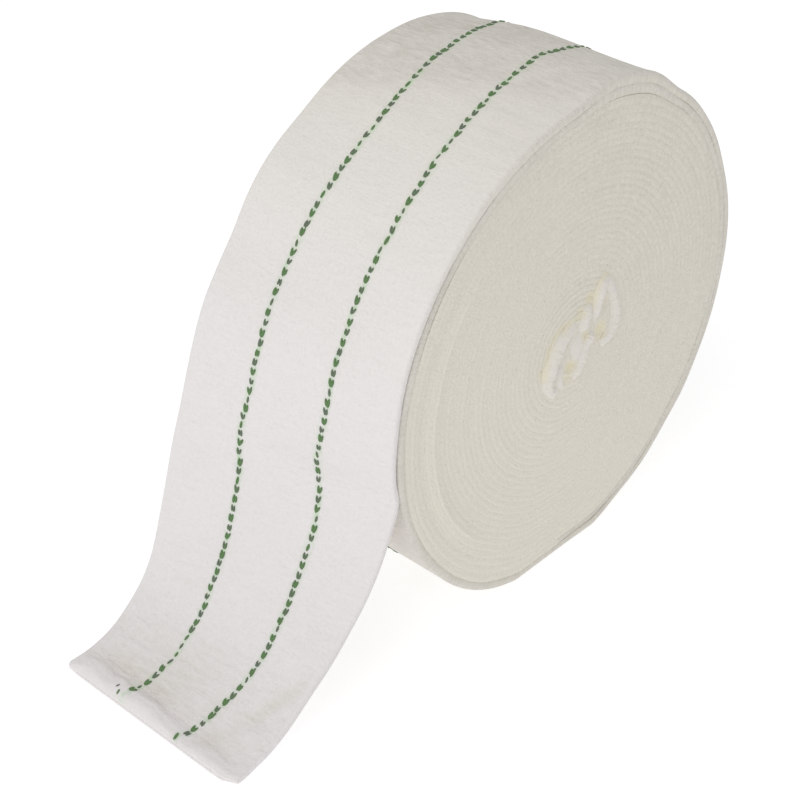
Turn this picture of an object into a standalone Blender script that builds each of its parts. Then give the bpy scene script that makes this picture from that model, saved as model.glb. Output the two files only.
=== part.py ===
"""Elastic tubular bandage: a roll standing on its rim, with its loose end running down to the floor.

Frame: the origin is the middle of the roll's flat spot on the floor, +X runs along the roll's axis to the
side with the open hub fold, -Y points to the loose end and +Z is up. Units are metres. Tables give
millimetres and degrees, as their column names say. Angles about the axis go from +Y toward +Z.
"""

from math import cos, hypot, pi, radians, sin

import bmesh
import bpy
import numpy as np

MM = 0.001
GAP = 0.3 * MM

# The tube, folded flat, and the roll wound from it.
TUBE_WIDTH = 75 * MM
PLY_THICKNESS = 1.0 * MM
PLY_GAP = 0.4 * MM
TAPE_THICKNESS = 2 * PLY_THICKNESS + PLY_GAP
OUTER_PITCH = TAPE_THICKNESS + GAP
ROLL_RADIUS = 83.5 * MM
AXIS_HEIGHT = 82.0 * MM
SPLIT_ANGLE = 138.0
ANGULAR_STEPS = 72

# Rounded fold edges at the two rims of the outermost turn, as how far in along the axis and how deep.
NEAR_FOLD_INSET = 1.8 * MM
NEAR_FOLD_DEPTH = 2.0 * MM
FAR_FOLD_INSET = 1.8 * MM
FAR_FOLD_DEPTH = 2.0 * MM
FOLD_STEPS = 3

# Lumps of the outermost turn: how far each rim swells, and how far the cloth bulges between them.
FAR_SWELL, NEAR_SWELL, BULGE = 1, 2, 3
OUTER_TURN = (
    # degrees, far swell mm, near swell mm, bulge mm
    (-116.0, 0.8, 2.2, 0.2),
    (-92.0, 0.0, 1.4, 0.0),
    (-66.0, 0.0, 0.9, 0.2),
    (-44.0, 0.4, 1.4, 0.4),
    (0.0, -0.4, 0.6, 0.4),
    (29.0, -0.4, 0.3, 0.5),
    (56.0, 0.2, 1.7, 0.7),
    (74.0, 0.6, 2.2, 1.0),
    (98.0, 0.3, -0.3, 1.2),
    (120.0, 0.9, 0.0, 0.3),
    (138.0, 0.0, 0.0, 0.0),
    (212.0, 0.0, 0.0, 0.0),
)
BULGE_CENTRE = -0.2
ACROSS_STATIONS = (0.62, 0.3, 0.0, -0.3, -0.62)

# Rings of the two flat faces, by radius, and the wound ridges that stand out of the near one.
NEAR_RINGS = (
    2.5, 4.7, 6.8, 8.9, 11, 13.1, 15.2, 17.3, 19.4, 21.5, 23.8, 28, 34, 41, 47, 52, 56, 59.5, 62.5, 65, 66.4,
    67.8, 69.6, 71.4, 73.6, 76, 78.2,
)
FAR_RINGS = (8, 16, 26, 38, 50, 62, 72)
FACE_RIDGES = (
    # radius mm, first degrees, last degrees, height mm, half width mm
    (66.4, 112.0, 238.0, 1.0, 1.8),
    (69.6, 112.0, 238.0, -0.6, 1.6),
    (74.6, 128.0, 222.0, 0.4, 2.0),
    (58.5, 130.0, 232.0, 0.4, 2.8),
    (50.0, 20.0, 90.0, 0.4, 3.0),
)
RIDGE_FADE = 18.0

# The hub, where the first turns are doubled into puffy strands: y and z from the roll's axis.
HUB_DOME_RADIUS = 26 * MM
HUB_DOME_HEIGHT = 0.8 * MM
STRAND_PUFF = 0.7
HUB_STRANDS = (
    # half width mm, height mm, route of (y mm, z mm)
    (4.6, 3.0, ((14.0, 14.8), (11.0, 11.4), (8.0, 8.6), (2.0, 7.2), (-5.0, 2.6), (-10.8, -1.8), (-12.0, -7.4),
                (-9.4, -12.2))),
    (4.2, 2.6, ((16.6, 11.4), (19.8, 6.0), (20.8, 0.6), (19.0, -4.4), (15.0, -7.0))),
    (3.8, 2.2, ((10.6, 3.4), (9.0, -1.6), (5.4, -7.2), (1.4, -11.6), (-4.0, -13.4))),
)

# The two folded edges of the loose end after they leave the roll: y and height of the middle of the cloth.
FAR_EDGE_LEAVES = 142.0
FAR_EDGE = (
    # y mm, z mm
    (-74.0, 122.8), (-81.2, 113.2), (-86.8, 103.2), (-94.0, 83.2), (-100.0, 63.2), (-106.0, 43.2),
    (-111.6, 25.2), (-116.6, 15.8), (-122.6, 9.4), (-129.2, 4.6), (-135.0, 2.2), (-140.8, 1.2), (-148.6, 1.15),
)
NEAR_EDGE_LEAVES = 190.0
NEAR_EDGE = (
    # y mm, z mm
    (-86.0, 54.2), (-91.4, 43.2), (-98.2, 33.2), (-108.4, 23.2), (-122.0, 13.2), (-129.4, 8.4),
    (-136.4, 4.6), (-140.8, 2.5), (-144.4, 1.3), (-149.6, 1.15),
)
HUG_STEP = 6.0
CURVE_STEPS = 12
LOOSE_END_BOW = 1.6 * MM
BOW_RISES_BY, BOW_FALLS_FROM, BOW_GONE_BY = 0.3, 0.65, 0.9
SLOPE_STEP = 0.004
LOOSE_END_STEPS = 25
MOUTH_STEPS = 10
MOUTH_ZONE = 18 * MM
ACROSS_PLACES = (-1.0, -0.955, -0.88, -0.68, -0.35, 0.0, 0.35, 0.68, 0.88, 0.955, 1.0)
FOLD_TURNS = (pi / 4, 0.0, -pi / 4)
POCKET_START = 0.03

# The open mouth at the cut end: the upper ply rises to a ridge and curls down again to its cut edge.
CORNER_RADIUS = 4.0 * MM
LIP_BACK = 3.6 * MM
LIP_REACH = 3.2 * MM
LIP_EDGE_LIFT = 0.7 * MM
LIP_HEIGHTS = (
    # place across, from -1 at the far edge to 1 at the near one; lift mm
    (-1.0, 0.0), (-0.8, 1.5), (-0.25, 2.7), (0.25, 1.1), (0.6, 2.3), (0.85, 1.3), (1.0, 0.0),
)

CLOTH_COLOUR = (0.74, 0.72, 0.68, 1.0)
CLOTH_ROUGHNESS = 0.95
SHARP_ANGLE = radians(50)


def clear_scene() -> None:
    """Removes everything that the scene starts with."""
    for thing in list(bpy.data.objects):
        bpy.data.objects.remove(thing, do_unlink=True)


def smooth(value: float) -> float:
    """An S-shaped rise from 0 to 1."""
    t = min(max(value, 0.0), 1.0)
    return t * t * (3 - 2 * t)


def table_value(rows: tuple, column: int, place: float) -> float:
    """A column of a table whose first column rises, eased from row to row."""
    for low, high in zip(rows, rows[1:]):
        if place <= high[0]:
            share = smooth((place - low[0]) / (high[0] - low[0]))
            return low[column] + (high[column] - low[column]) * share
    return rows[-1][column]


def outer_turn(column: int, degrees: float) -> float:
    """A column of OUTER_TURN, in metres, at any angle: the table closes on itself."""
    first = OUTER_TURN[0]
    rows = (*OUTER_TURN, (first[0] + 360, *first[1:]))
    return table_value(rows, column, (degrees - first[0]) % 360 + first[0]) * MM


def bulge_share(across: float) -> float:
    """Share of the bulge at a place across the width, from -1 at the far rim to 1 at the near one."""
    reach = 1 + BULGE_CENTRE if across < BULGE_CENTRE else 1 - BULGE_CENTRE
    return 0.5 + 0.5 * cos(pi * (across - BULGE_CENTRE) / reach)


def turn_radius(degrees: float, across: float) -> float:
    """Radius of the outermost turn's outer side, which grows by one pitch up to the split."""
    grown = OUTER_PITCH * (0.5 - (SPLIT_ANGLE - degrees) / 360)
    side = (across + 1) / 2
    swell = outer_turn(FAR_SWELL, degrees) * (1 - side) + outer_turn(NEAR_SWELL, degrees) * side
    return ROLL_RADIUS + grown + swell + outer_turn(BULGE, degrees) * bulge_share(across)


def ring_point(x: float, radius: float, degrees: float) -> tuple[float, float, float]:
    """A point about the roll's axis, pressed flat where it would go under the floor."""
    angle = radians(degrees)
    return x, radius * cos(angle), max(AXIS_HEIGHT + radius * sin(angle), 0.0)


def strand_height(y: float, z: float) -> float:
    """How far the hub's strands stand out of the face at a place, measured from the roll's axis."""
    best = 0.0
    for half_width, height, route in HUB_STRANDS:
        for (y0, z0), (y1, z1) in zip(route, route[1:]):
            run = hypot(y1 - y0, z1 - z0)
            along = ((y / MM - y0) * (y1 - y0) + (z / MM - z0) * (z1 - z0)) / run**2
            share = min(max(along, 0.0), 1.0)
            away = hypot(y / MM - y0 - share * (y1 - y0), z / MM - z0 - share * (z1 - z0))
            if away < half_width:
                best = max(best, height * (0.5 + 0.5 * cos(pi * away / half_width)) ** STRAND_PUFF)
    return best * MM


def ridge_height(radius: float, degrees: float) -> float:
    """How far the wound ridges stand out of the near face."""
    total = 0.0
    turned = degrees % 360
    for centre, first, last, height, half_width in FACE_RIDGES:
        across = abs(radius / MM - centre) / half_width
        fade = smooth((turned - first) / RIDGE_FADE) * smooth((last - turned) / RIDGE_FADE)
        if across < 1:
            total += height * fade * (0.5 + 0.5 * cos(pi * across))
    return total * MM


def face_height(radius: float, degrees: float) -> float:
    """How far the near face stands out of its plane."""
    angle = radians(degrees)
    dome = HUB_DOME_HEIGHT * smooth(1 - radius / HUB_DOME_RADIUS)
    strands = strand_height(radius * cos(angle), radius * sin(angle))
    return dome + strands + ridge_height(radius, degrees)


def rim_profile() -> list[tuple[float, float, float]]:
    """The outer turn's section from the near face to the far one, as (x, place across, drop in radius)."""
    half = TUBE_WIDTH / 2
    rows = []
    for step in range(FOLD_STEPS + 1):
        turn = pi / 2 * step / FOLD_STEPS
        inset, drop = NEAR_FOLD_INSET * (1 - cos(turn)), NEAR_FOLD_DEPTH * (1 - sin(turn))
        rows.append((half - inset, 1.0, drop))
    for across in ACROSS_STATIONS:
        rows.append((half * across, across, 0.0))
    for step in range(FOLD_STEPS, -1, -1):
        turn = pi / 2 * step / FOLD_STEPS
        inset, drop = FAR_FOLD_INSET * (1 - cos(turn)), FAR_FOLD_DEPTH * (1 - sin(turn))
        rows.append((-half + inset, -1.0, drop))
    return rows


def bridge(mesh: bmesh.types.BMesh, first: list, second: list) -> None:
    """Faces between two rows of vertices, leaving out a corner where the rows share a vertex."""
    for a, b, c, d in zip(first, first[1:], second[1:], second):
        corners = list(dict.fromkeys((a, b, c, d)))
        if len(corners) > 2:
            mesh.faces.new(corners)


def fan(mesh: bmesh.types.BMesh, ring: list, centre: tuple[float, float, float]) -> None:
    """Triangles from a closed ring to a point."""
    middle = mesh.verts.new(centre)
    for a, b in zip(ring, ring[1:]):
        mesh.faces.new((a, b, middle))


def cloth_material(name: str) -> bpy.types.Material:
    """Undyed cotton with elastic thread."""
    material = bpy.data.materials.new(name)
    material.use_nodes = True
    shader = material.node_tree.nodes["Principled BSDF"]
    shader.inputs["Base Color"].default_value = CLOTH_COLOUR
    shader.inputs["Roughness"].default_value = CLOTH_ROUGHNESS
    shader.inputs["Metallic"].default_value = 0.0
    return material


def finish(mesh: bmesh.types.BMesh, name: str) -> bpy.types.Object:
    """Makes the object of a closed mesh, faces out, smooth but for its sharp edges."""
    bmesh.ops.recalc_face_normals(mesh, faces=mesh.faces)
    data = bpy.data.meshes.new(name)
    mesh.to_mesh(data)
    mesh.free()
    data.materials.append(cloth_material(name + "_cloth"))
    data.shade_smooth()
    data.set_sharp_from_angle(angle=SHARP_ANGLE)
    thing = bpy.data.objects.new(name, data)
    bpy.context.scene.collection.objects.link(thing)
    return thing


def make_roll() -> bpy.types.Object:
    """The wound roll: two faces, the outermost turn, and the step where the loose end goes on."""
    mesh = bmesh.new()
    half = TUBE_WIDTH / 2
    angles = [SPLIT_ANGLE - 360 + 360 * step / ANGULAR_STEPS for step in range(ANGULAR_STEPS + 1)]

    def closed_ring(points: list) -> list:
        ring = [mesh.verts.new(point) for point in points[:-1]]
        return [*ring, ring[0]]

    near = []
    for radius in NEAR_RINGS:
        size = radius * MM
        near.append(closed_ring([ring_point(half + face_height(size, a), size, a) for a in angles]))
    far = [closed_ring([ring_point(-half, radius * MM, a) for a in angles]) for radius in FAR_RINGS]

    turn = []
    for x, across, drop in rim_profile():
        points = [ring_point(x, turn_radius(a, across) - drop, a) for a in angles]
        turn.append([mesh.verts.new(point) for point in points])

    fan(mesh, near[0], (half + face_height(0, 0), 0.0, AXIS_HEIGHT))
    fan(mesh, far[0], (-half, 0.0, AXIS_HEIGHT))
    for first, second in zip([*near, *turn], [*near[1:], *turn, far[-1]]):
        bridge(mesh, first, second)
    for first, second in zip(far, far[1:]):
        bridge(mesh, first, second)

    shared = [near[-1][0], far[-1][0]]
    low = [shared[0], *(row[0] for row in turn), shared[1]]
    high = [shared[0], *(row[-1] for row in turn), shared[1]]
    bridge(mesh, low, high)
    return finish(mesh, "roll")


class Route:
    """A smooth edge of the loose end in the y-z plane, read by the share of its length."""

    def __init__(self, leaves: float, rows: tuple) -> None:
        angles = np.arange(SPLIT_ANGLE - HUG_STEP, leaves + HUG_STEP / 2, HUG_STEP)
        middle = ROLL_RADIUS + OUTER_PITCH * (0.5 + (angles - SPLIT_ANGLE) / 360) - TAPE_THICKNESS / 2
        turn = np.radians(angles)
        on_roll = np.column_stack([middle * np.cos(turn), AXIS_HEIGHT + middle * np.sin(turn)])
        free = np.array(rows) * MM
        last = free[-1] + (free[-1] - free[-2])
        self.knots = np.vstack([on_roll, free, last])
        self.points = np.vstack([self.stretch(i) for i in range(1, len(self.knots) - 2)] + [free[-1]])
        runs = np.hypot(*np.diff(self.points, axis=0).T)
        self.length = float(runs.sum())
        self.shares = np.concatenate([[0.0], np.cumsum(runs)]) / self.length

    def stretch(self, index: int) -> np.ndarray:
        """One stretch of the curve, whose slope at a knot is that of the line between its neighbours."""
        a, b, c, d = self.knots[index - 1 : index + 3]
        before, run, after = hypot(*(b - a)), hypot(*(c - b)), hypot(*(d - c))
        slope_b = (c - a) / (before + run) * run
        slope_c = (d - b) / (run + after) * run
        t = np.arange(CURVE_STEPS)[:, None] / CURVE_STEPS
        return (
            (2 * t**3 - 3 * t**2 + 1) * b
            + (t**3 - 2 * t**2 + t) * slope_b
            + (3 * t**2 - 2 * t**3) * c
            + (t**3 - t**2) * slope_c
        )

    def at(self, share: float) -> np.ndarray:
        """The point at a share of the length."""
        return np.array([np.interp(share, self.shares, self.points[:, axis]) for axis in (0, 1)])


class LooseEnd:
    """The free end of the tube: two plies a little apart, from the split on the roll to the open mouth."""

    def __init__(self) -> None:
        self.far = Route(FAR_EDGE_LEAVES, FAR_EDGE)
        self.near = Route(NEAR_EDGE_LEAVES, NEAR_EDGE)
        self.length = (self.far.length + self.near.length) / 2
        self.half = TUBE_WIDTH / 2 - TAPE_THICKNESS / 2

    def middle(self, share: float, across: float) -> np.ndarray:
        """A point of the sheet halfway between the plies."""
        side = (across + 1) / 2
        y, z = self.far.at(share) * (1 - side) + self.near.at(share) * side
        rise, fall = share / BOW_RISES_BY, (BOW_GONE_BY - share) / (BOW_GONE_BY - BOW_FALLS_FROM)
        bow = LOOSE_END_BOW * smooth(rise) * smooth(fall)
        return np.array([self.half * across, y - bow * (1 - across**2), z])

    def frame(self, share: float, across: float) -> tuple[np.ndarray, np.ndarray]:
        """The unit directions out of the sheet and toward its near edge."""
        low, high = max(share - SLOPE_STEP, 0.0), min(share + SLOPE_STEP, 1.0)
        ahead = self.middle(high, across) - self.middle(low, across)
        side = self.middle(share, across + SLOPE_STEP) - self.middle(share, across - SLOPE_STEP)
        out = np.cross(ahead, side)
        return out / np.linalg.norm(out), side / np.linalg.norm(side)

    def lift(self, share: float, across: float) -> float:
        """How far the upper ply rises near the mouth."""
        back = (1 - share) * self.length
        height = table_value(LIP_HEIGHTS, 1, across) * MM
        away = (back - LIP_BACK) / LIP_REACH
        ridge = height / (1 + away**4)
        return max(ridge, LIP_EDGE_LIFT * (1 - across**2) * smooth(1 - back / LIP_BACK))

    def shorten(self, share: float, across: float) -> float:
        """The share pulled back near the corners of the cut end, which are round."""
        flat = TUBE_WIDTH / 2 - CORNER_RADIUS
        over = min(max(abs(across) * TUBE_WIDTH / 2 - flat, 0.0), CORNER_RADIUS)
        inset = CORNER_RADIUS - (CORNER_RADIUS**2 - over**2) ** 0.5
        zone = MOUTH_ZONE / self.length
        return share - inset / self.length * smooth((share - 1 + zone) / zone)

    def section(self, share: float, half_thickness: float) -> list[np.ndarray]:
        """A closed loop round the flat tube: upper ply, near fold, lower ply, far fold."""
        loop = []
        for across in ACROSS_PLACES:
            place = self.shorten(share, across)
            out, _ = self.frame(place, across)
            loop.append(self.middle(place, across) + out * (half_thickness + self.lift(share, across)))
        loop += self.fold(share, 1.0, half_thickness, FOLD_TURNS)
        for across in ACROSS_PLACES[::-1]:
            place = self.shorten(share, across)
            out, _ = self.frame(place, across)
            loop.append(self.middle(place, across) - out * half_thickness)
        loop += self.fold(share, -1.0, half_thickness, FOLD_TURNS[::-1])
        for point in loop:
            point[2] = max(point[2], TAPE_THICKNESS / 2 - half_thickness)
        return loop

    def fold(self, share: float, across: float, radius: float, turns: tuple) -> list[np.ndarray]:
        """Points round one folded edge."""
        place = self.shorten(share, across)
        out, side = self.frame(place, across)
        centre = self.middle(place, across)
        return [centre + radius * (cos(turn) * side * across + sin(turn) * out) for turn in turns]

    def shares(self) -> list[float]:
        """Places of the sections, closer together near the mouth."""
        start = GAP / self.length
        zone = 1 - MOUTH_ZONE / self.length
        return [
            *np.linspace(start, zone, LOOSE_END_STEPS, endpoint=False),
            *np.linspace(zone, 1.0, MOUTH_STEPS + 1),
        ]


def cap(mesh: bmesh.types.BMesh, loop: list) -> None:
    """Closes a section's loop with a strip from its upper ply to its lower one."""
    count = len(ACROSS_PLACES)
    upper = loop[:count]
    fold = (len(loop) - 2 * count) // 2
    lower = loop[count + fold : 2 * count + fold][::-1]
    bridge(mesh, upper, lower)
    mesh.faces.new([upper[-1], *loop[count : count + fold], lower[-1]])
    mesh.faces.new([lower[0], *loop[-fold:], upper[0]])


def make_loose_end() -> bpy.types.Object:
    """The loose end as one hollow flattened tube, closed where it meets the roll and open at its mouth."""
    mesh = bmesh.new()
    tube = LooseEnd()
    shares = tube.shares()

    def loops(places: list[float], half_thickness: float) -> list[list]:
        rows = [[mesh.verts.new(p) for p in tube.section(place, half_thickness)] for place in places]
        return [[*row, row[0]] for row in rows]

    outside = loops(shares, TAPE_THICKNESS / 2)
    inside = loops([place for place in shares if place > POCKET_START], PLY_GAP / 2)
    for rows in (outside, inside):
        for first, second in zip(rows, rows[1:]):
            bridge(mesh, first, second)
    bridge(mesh, outside[-1], inside[-1])
    cap(mesh, outside[0][:-1])
    cap(mesh, inside[0][:-1])
    return finish(mesh, "loose_end")


def main() -> None:
    """Builds the bandage."""
    clear_scene()
    make_roll()
    make_loose_end()


main()
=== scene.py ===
"""Elastic tubular bandage: the looks of a wound roll that stands on its rim, and of its loose end.

The cloth is one circular-knit tube, folded flat and wound up. The origin is the middle of the roll's flat
spot on the floor, +X runs along the roll's axis to the side with the open hub fold, -Y points to the loose
end and +Z is up. Units are metres; fields and tables whose names or notes say so give millimetres or
degrees. Angles about the axis go from +Y toward +Z, and a winding angle goes on rising from turn to turn.
"""

import logging
from dataclasses import dataclass, field
from enum import Enum
from functools import partialmethod
from math import cos, pi, radians, sin

import bpy
import numpy as np
from mathutils import Matrix, Vector


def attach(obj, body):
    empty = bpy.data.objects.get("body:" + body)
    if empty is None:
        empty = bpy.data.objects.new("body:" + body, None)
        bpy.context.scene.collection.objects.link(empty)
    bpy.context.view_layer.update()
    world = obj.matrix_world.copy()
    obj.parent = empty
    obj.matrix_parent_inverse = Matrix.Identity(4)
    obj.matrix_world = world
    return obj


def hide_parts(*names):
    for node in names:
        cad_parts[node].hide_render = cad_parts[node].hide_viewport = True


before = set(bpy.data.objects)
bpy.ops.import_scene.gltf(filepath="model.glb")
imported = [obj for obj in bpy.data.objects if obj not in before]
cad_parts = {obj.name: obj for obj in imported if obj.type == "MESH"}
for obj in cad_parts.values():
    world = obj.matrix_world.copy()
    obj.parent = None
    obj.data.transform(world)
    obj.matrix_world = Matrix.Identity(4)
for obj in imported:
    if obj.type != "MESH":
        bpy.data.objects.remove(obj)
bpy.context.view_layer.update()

LOG = logging.getLogger("bandage")
MM = 0.001
BODY = "root"
UV_NAME = "cloth"
LATTICE = 1024, 128
# The mesh values, in order: a creamy tint that is partly the cotton's own and partly stands in for the yellowed look of
# shade; painted shade of the hub's deep folds, tinted yellow; green fluff by the marker lines; painted shade.
VALUE_NAMES = "cream", "hollow", "halo", "grey"


def smooth(value: np.ndarray) -> np.ndarray:
    """An S-shaped rise from 0 to 1.

    Args:
        value: where on the rise, below 0 and above 1 too.

    Returns:
        The eased value.
    """
    t = np.clip(value, 0.0, 1.0)
    return t * t * (3 - 2 * t)


def hump(place: np.ndarray) -> np.ndarray:
    """A round hump: 1 in the middle, at 0, and 0 at -1 and 1."""
    return 0.5 + 0.5 * np.cos(pi * place)


def unit(vectors: np.ndarray) -> np.ndarray:
    """The same directions with a length of 1."""
    return vectors / np.linalg.norm(vectors, axis=-1, keepdims=True)


def eased(rows: tuple, column: int, place: np.ndarray) -> np.ndarray:
    """Reads a column of a table whose first column rises, eased from row to row.

    Args:
        rows: the table.
        column: which column to read.
        place: values of the first column to read at.

    Returns:
        The column's value at each place.
    """
    table = np.array(rows, float)
    index = np.clip(np.searchsorted(table[:, 0], place) - 1, 0, len(table) - 2)
    low, high = table[index], table[index + 1]
    share = smooth((place - low[..., 0]) / (high[..., 0] - low[..., 0]))
    return low[..., column] + (high[..., column] - low[..., column]) * share


def soft_noise(along: np.ndarray, across: np.ndarray, steps: tuple[float, float], seed: int) -> np.ndarray:
    """Smooth random relief over the cloth, made from a seeded lattice.

    Args:
        along: distances along the tube, in metres.
        across: distances across the tube, in metres, of the same shape.
        steps: the lattice's spacing along and across, in metres.
        seed: which pattern.

    Returns:
        Heights of about -1 to 1, of the same shape.
    """
    lattice = np.random.default_rng(seed).normal(0.0, 1.0, LATTICE)
    total = np.zeros(np.broadcast(along, across).shape)
    places = along / steps[0], across / steps[1]
    cells = [np.floor(place).astype(int) for place in places]
    parts = [place - cell for place, cell in zip(places, cells)]

    def weights(t: np.ndarray) -> list[np.ndarray]:
        """The shares of the four lattice points round a place."""
        return [(1 - t) ** 3 / 6, (3 * t**3 - 6 * t**2 + 4) / 6, (-3 * t**3 + 3 * t**2 + 3 * t + 1) / 6, t**3 / 6]

    for i, first in enumerate(weights(parts[0])):
        for j, second in enumerate(weights(parts[1])):
            total = total + first * second * lattice[(cells[0] + i) % LATTICE[0], (cells[1] + j) % LATTICE[1]]
    return total


def knots_curve(knots: np.ndarray, steps: int) -> np.ndarray:
    """A smooth curve through the inner knots; the first and last knot only set its slopes.

    Args:
        knots: the points, one a row.
        steps: points for each stretch.

    Returns:
        The curve's points, one a row.
    """
    t = np.arange(steps)[:, None] / steps
    points = []
    for a, b, c, d in zip(knots, knots[1:], knots[2:], knots[3:]):
        before, run, after = (np.linalg.norm(q - p) for p, q in ((a, b), (b, c), (c, d)))
        slope_b, slope_c = (c - a) / (before + run) * run, (d - b) / (run + after) * run
        points.append(
            (2 * t**3 - 3 * t**2 + 1) * b
            + (t**3 - 2 * t**2 + t) * slope_b
            + (3 * t**2 - 2 * t**3) * c
            + (t**3 - t**2) * slope_c
        )
    return np.vstack([*points, knots[-2]])


def add_object(name: str, data: bpy.types.ID) -> bpy.types.Object:
    """Adds an object with its data to the scene.

    Args:
        name: its name.
        data: its mesh, camera or light.

    Returns:
        The new object.
    """
    made = bpy.data.objects.new(name, data)
    bpy.context.scene.collection.objects.link(made)
    return made


def make_piece(
    name: str, points: np.ndarray, faces: list, values: dict, material: bpy.types.Material
) -> bpy.types.Object:
    """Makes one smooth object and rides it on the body.

    Args:
        name: the piece's name.
        points: its points, one a row.
        faces: its faces, as indices.
        values: named values, one for each point.
        material: its finish.

    Returns:
        The new object.
    """
    data = bpy.data.meshes.new(name)
    data.from_pydata(points.tolist(), [], faces)
    for key, numbers in values.items():
        attribute = data.attributes.new(key, "FLOAT", "POINT")
        attribute.data.foreach_set("value", numbers.astype(np.float32))
    data.materials.append(material)
    data.shade_smooth()
    piece = add_object(name, data)
    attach(piece, BODY)
    return piece


@dataclass(frozen=True)
class Tube:
    """The circular-knit tube, folded flat."""

    width: float = 75 * MM
    ply: float = 1.0 * MM
    ply_gap: float = 0.4 * MM
    course: float = 1.12 * MM
    wale: float = 1.3 * MM

    @property
    def thickness(self) -> float:
        """Two plies and the air between them."""
        return 2 * self.ply + self.ply_gap

    @property
    def half(self) -> float:
        """Half of the flat width."""
        return self.width / 2


@dataclass(frozen=True)
class Winding:
    """Where every turn of the roll lies, counted from the split where the loose end leaves it."""

    tube: Tube = Tube()
    radius: float = 83.5 * MM
    axis_height: float = 82.0 * MM
    split: float = 138.0
    # winding angle of the butt joint between the outer cloth and the turns under it
    joint: float = -450.0
    outer_pitch: float = 2.7 * MM
    inner_pitch: float = 2.16 * MM
    pitch_settles: float = 1.5
    split_gap: float = 0.05 * MM
    closed_gap: float = 0.015 * MM
    gap_closes: float = 0.25
    press_depth: float = 25 * MM
    lowest_sine: float = -0.1
    bulge_centre: float = -0.2
    most_turns: int = 40
    swell_shares: tuple = (1.0, 0.76, 0.52, 0.3, 0.14, 0.0)
    outer_turn: tuple = (
        # degrees, far swell mm, near swell mm, bulge mm
        (-116.0, 0.8, 2.2, 0.2),
        (-92.0, 0.0, 1.4, 0.0),
        (-66.0, 0.0, 0.9, 0.2),
        (-44.0, 0.4, 0.8, 0.4),
        (0.0, -0.4, 0.6, 0.4),
        (29.0, -1.0, -0.6, -0.4),
        (58.0, -0.8, 0.3, -0.5),
        (73.0, 0.4, 3.3, 2.2),
        (83.0, 0.2, 3.1, 1.3),
        (98.0, -0.2, -0.8, 1.2),
        (120.0, -1.6, 0.0, 0.3),
        (138.0, 0.0, 0.0, 0.0),
        (212.0, 0.0, 0.0, 0.0),
    )

    def turns_in(self, degrees: np.ndarray) -> np.ndarray:
        """How many turns inside the split a winding angle is."""
        return (self.split - degrees) / 360

    def base(self, turns: np.ndarray) -> np.ndarray:
        """Radius of the even spiral's outer side.

        Args:
            turns: how many turns inside the split.

        Returns:
            The radius.
        """
        past = np.maximum(turns - 1, 0.0)
        extra = self.outer_pitch - self.inner_pitch
        inner = self.inner_pitch * past + extra * self.pitch_settles * (1 - np.exp(-past / self.pitch_settles))
        return self.radius + self.outer_pitch * (0.5 - np.minimum(turns, 1.0)) - inner

    def table(self, column: int, degrees: np.ndarray) -> np.ndarray:
        """Reads the outer turn's table at any angle: the table closes on itself.

        Args:
            column: which column.
            degrees: winding angles.

        Returns:
            The column's values, in metres.
        """
        first = self.outer_turn[0]
        rows = (*self.outer_turn, (first[0] + 360, *first[1:]))
        return eased(rows, column, (degrees - first[0]) % 360 + first[0]) * MM

    def free(self, turns: np.ndarray, degrees: np.ndarray, across: np.ndarray) -> np.ndarray:
        """Radius of a turn's outer side, before the floor presses it.

        Args:
            turns: how many turns inside the split.
            degrees: winding angles.
            across: places across, from -1 at the far edge to 1 at the near one.

        Returns:
            The radius.
        """
        share = np.array(self.swell_shares)[np.clip(np.floor(turns), 0, len(self.swell_shares) - 1).astype(int)]
        side = (across + 1) / 2
        swell = self.table(1, degrees) * (1 - side) + self.table(2, degrees) * side
        reach = np.where(across < self.bulge_centre, 1 + self.bulge_centre, 1 - self.bulge_centre)
        bulge = self.table(3, degrees) * hump((across - self.bulge_centre) / reach)
        return self.base(turns) + (swell + bulge) * share

    def side(self, degrees: np.ndarray, across: np.ndarray) -> np.ndarray:
        """Radius of the outer side of the cloth.

        Args:
            degrees: winding angles.
            across: places across the width, from -1 at the far rim to 1 at the near one.

        Returns:
            The radius, pressed in where the roll stands on its flat spot.
        """
        turns = self.turns_in(degrees)
        shallow = turns - np.floor(turns)
        drop = np.minimum(np.sin(np.radians(degrees)), self.lowest_sine)
        press = np.maximum(self.free(shallow, degrees, across) + self.axis_height / drop, 0.0)
        depth = self.base(shallow) - self.base(turns)
        return self.free(turns, degrees, across) - press * np.exp(-depth / self.press_depth)

    def gap(self, turns: np.ndarray) -> np.ndarray:
        """Air between a turn and the next one inward: the turns touch but for the start of the loose end."""
        return self.split_gap + (self.closed_gap - self.split_gap) * smooth(turns / self.gap_closes)

    def thickness(self, degrees: np.ndarray, across: np.ndarray) -> np.ndarray:
        """The flat tube's thickness, puffed up to what the next turn inward leaves."""
        return self.side(degrees, across) - self.side(degrees - 360, across) - self.gap(self.turns_in(degrees))

    def place(self, x: np.ndarray, radius: np.ndarray, degrees: np.ndarray) -> np.ndarray:
        """Points about the roll's axis, as an array with x, y and z in its last row."""
        angle = np.radians(degrees)
        return np.stack(np.broadcast_arrays(x, radius * np.cos(angle), self.axis_height + radius * np.sin(angle)), -1)

    def winding_angle(self, radius: float, degrees: float) -> float:
        """The winding angle of the turn whose middle is nearest to a radius.

        Args:
            radius: the radius, in metres.
            degrees: the angle about the axis.

        Returns:
            The winding angle.
        """
        turns = np.arange(self.most_turns) + (self.split - degrees) / 360
        middle = self.base(turns) - self.inner_pitch / 2
        return degrees - 360 * int(np.argmin(np.abs(middle - radius)))


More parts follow.
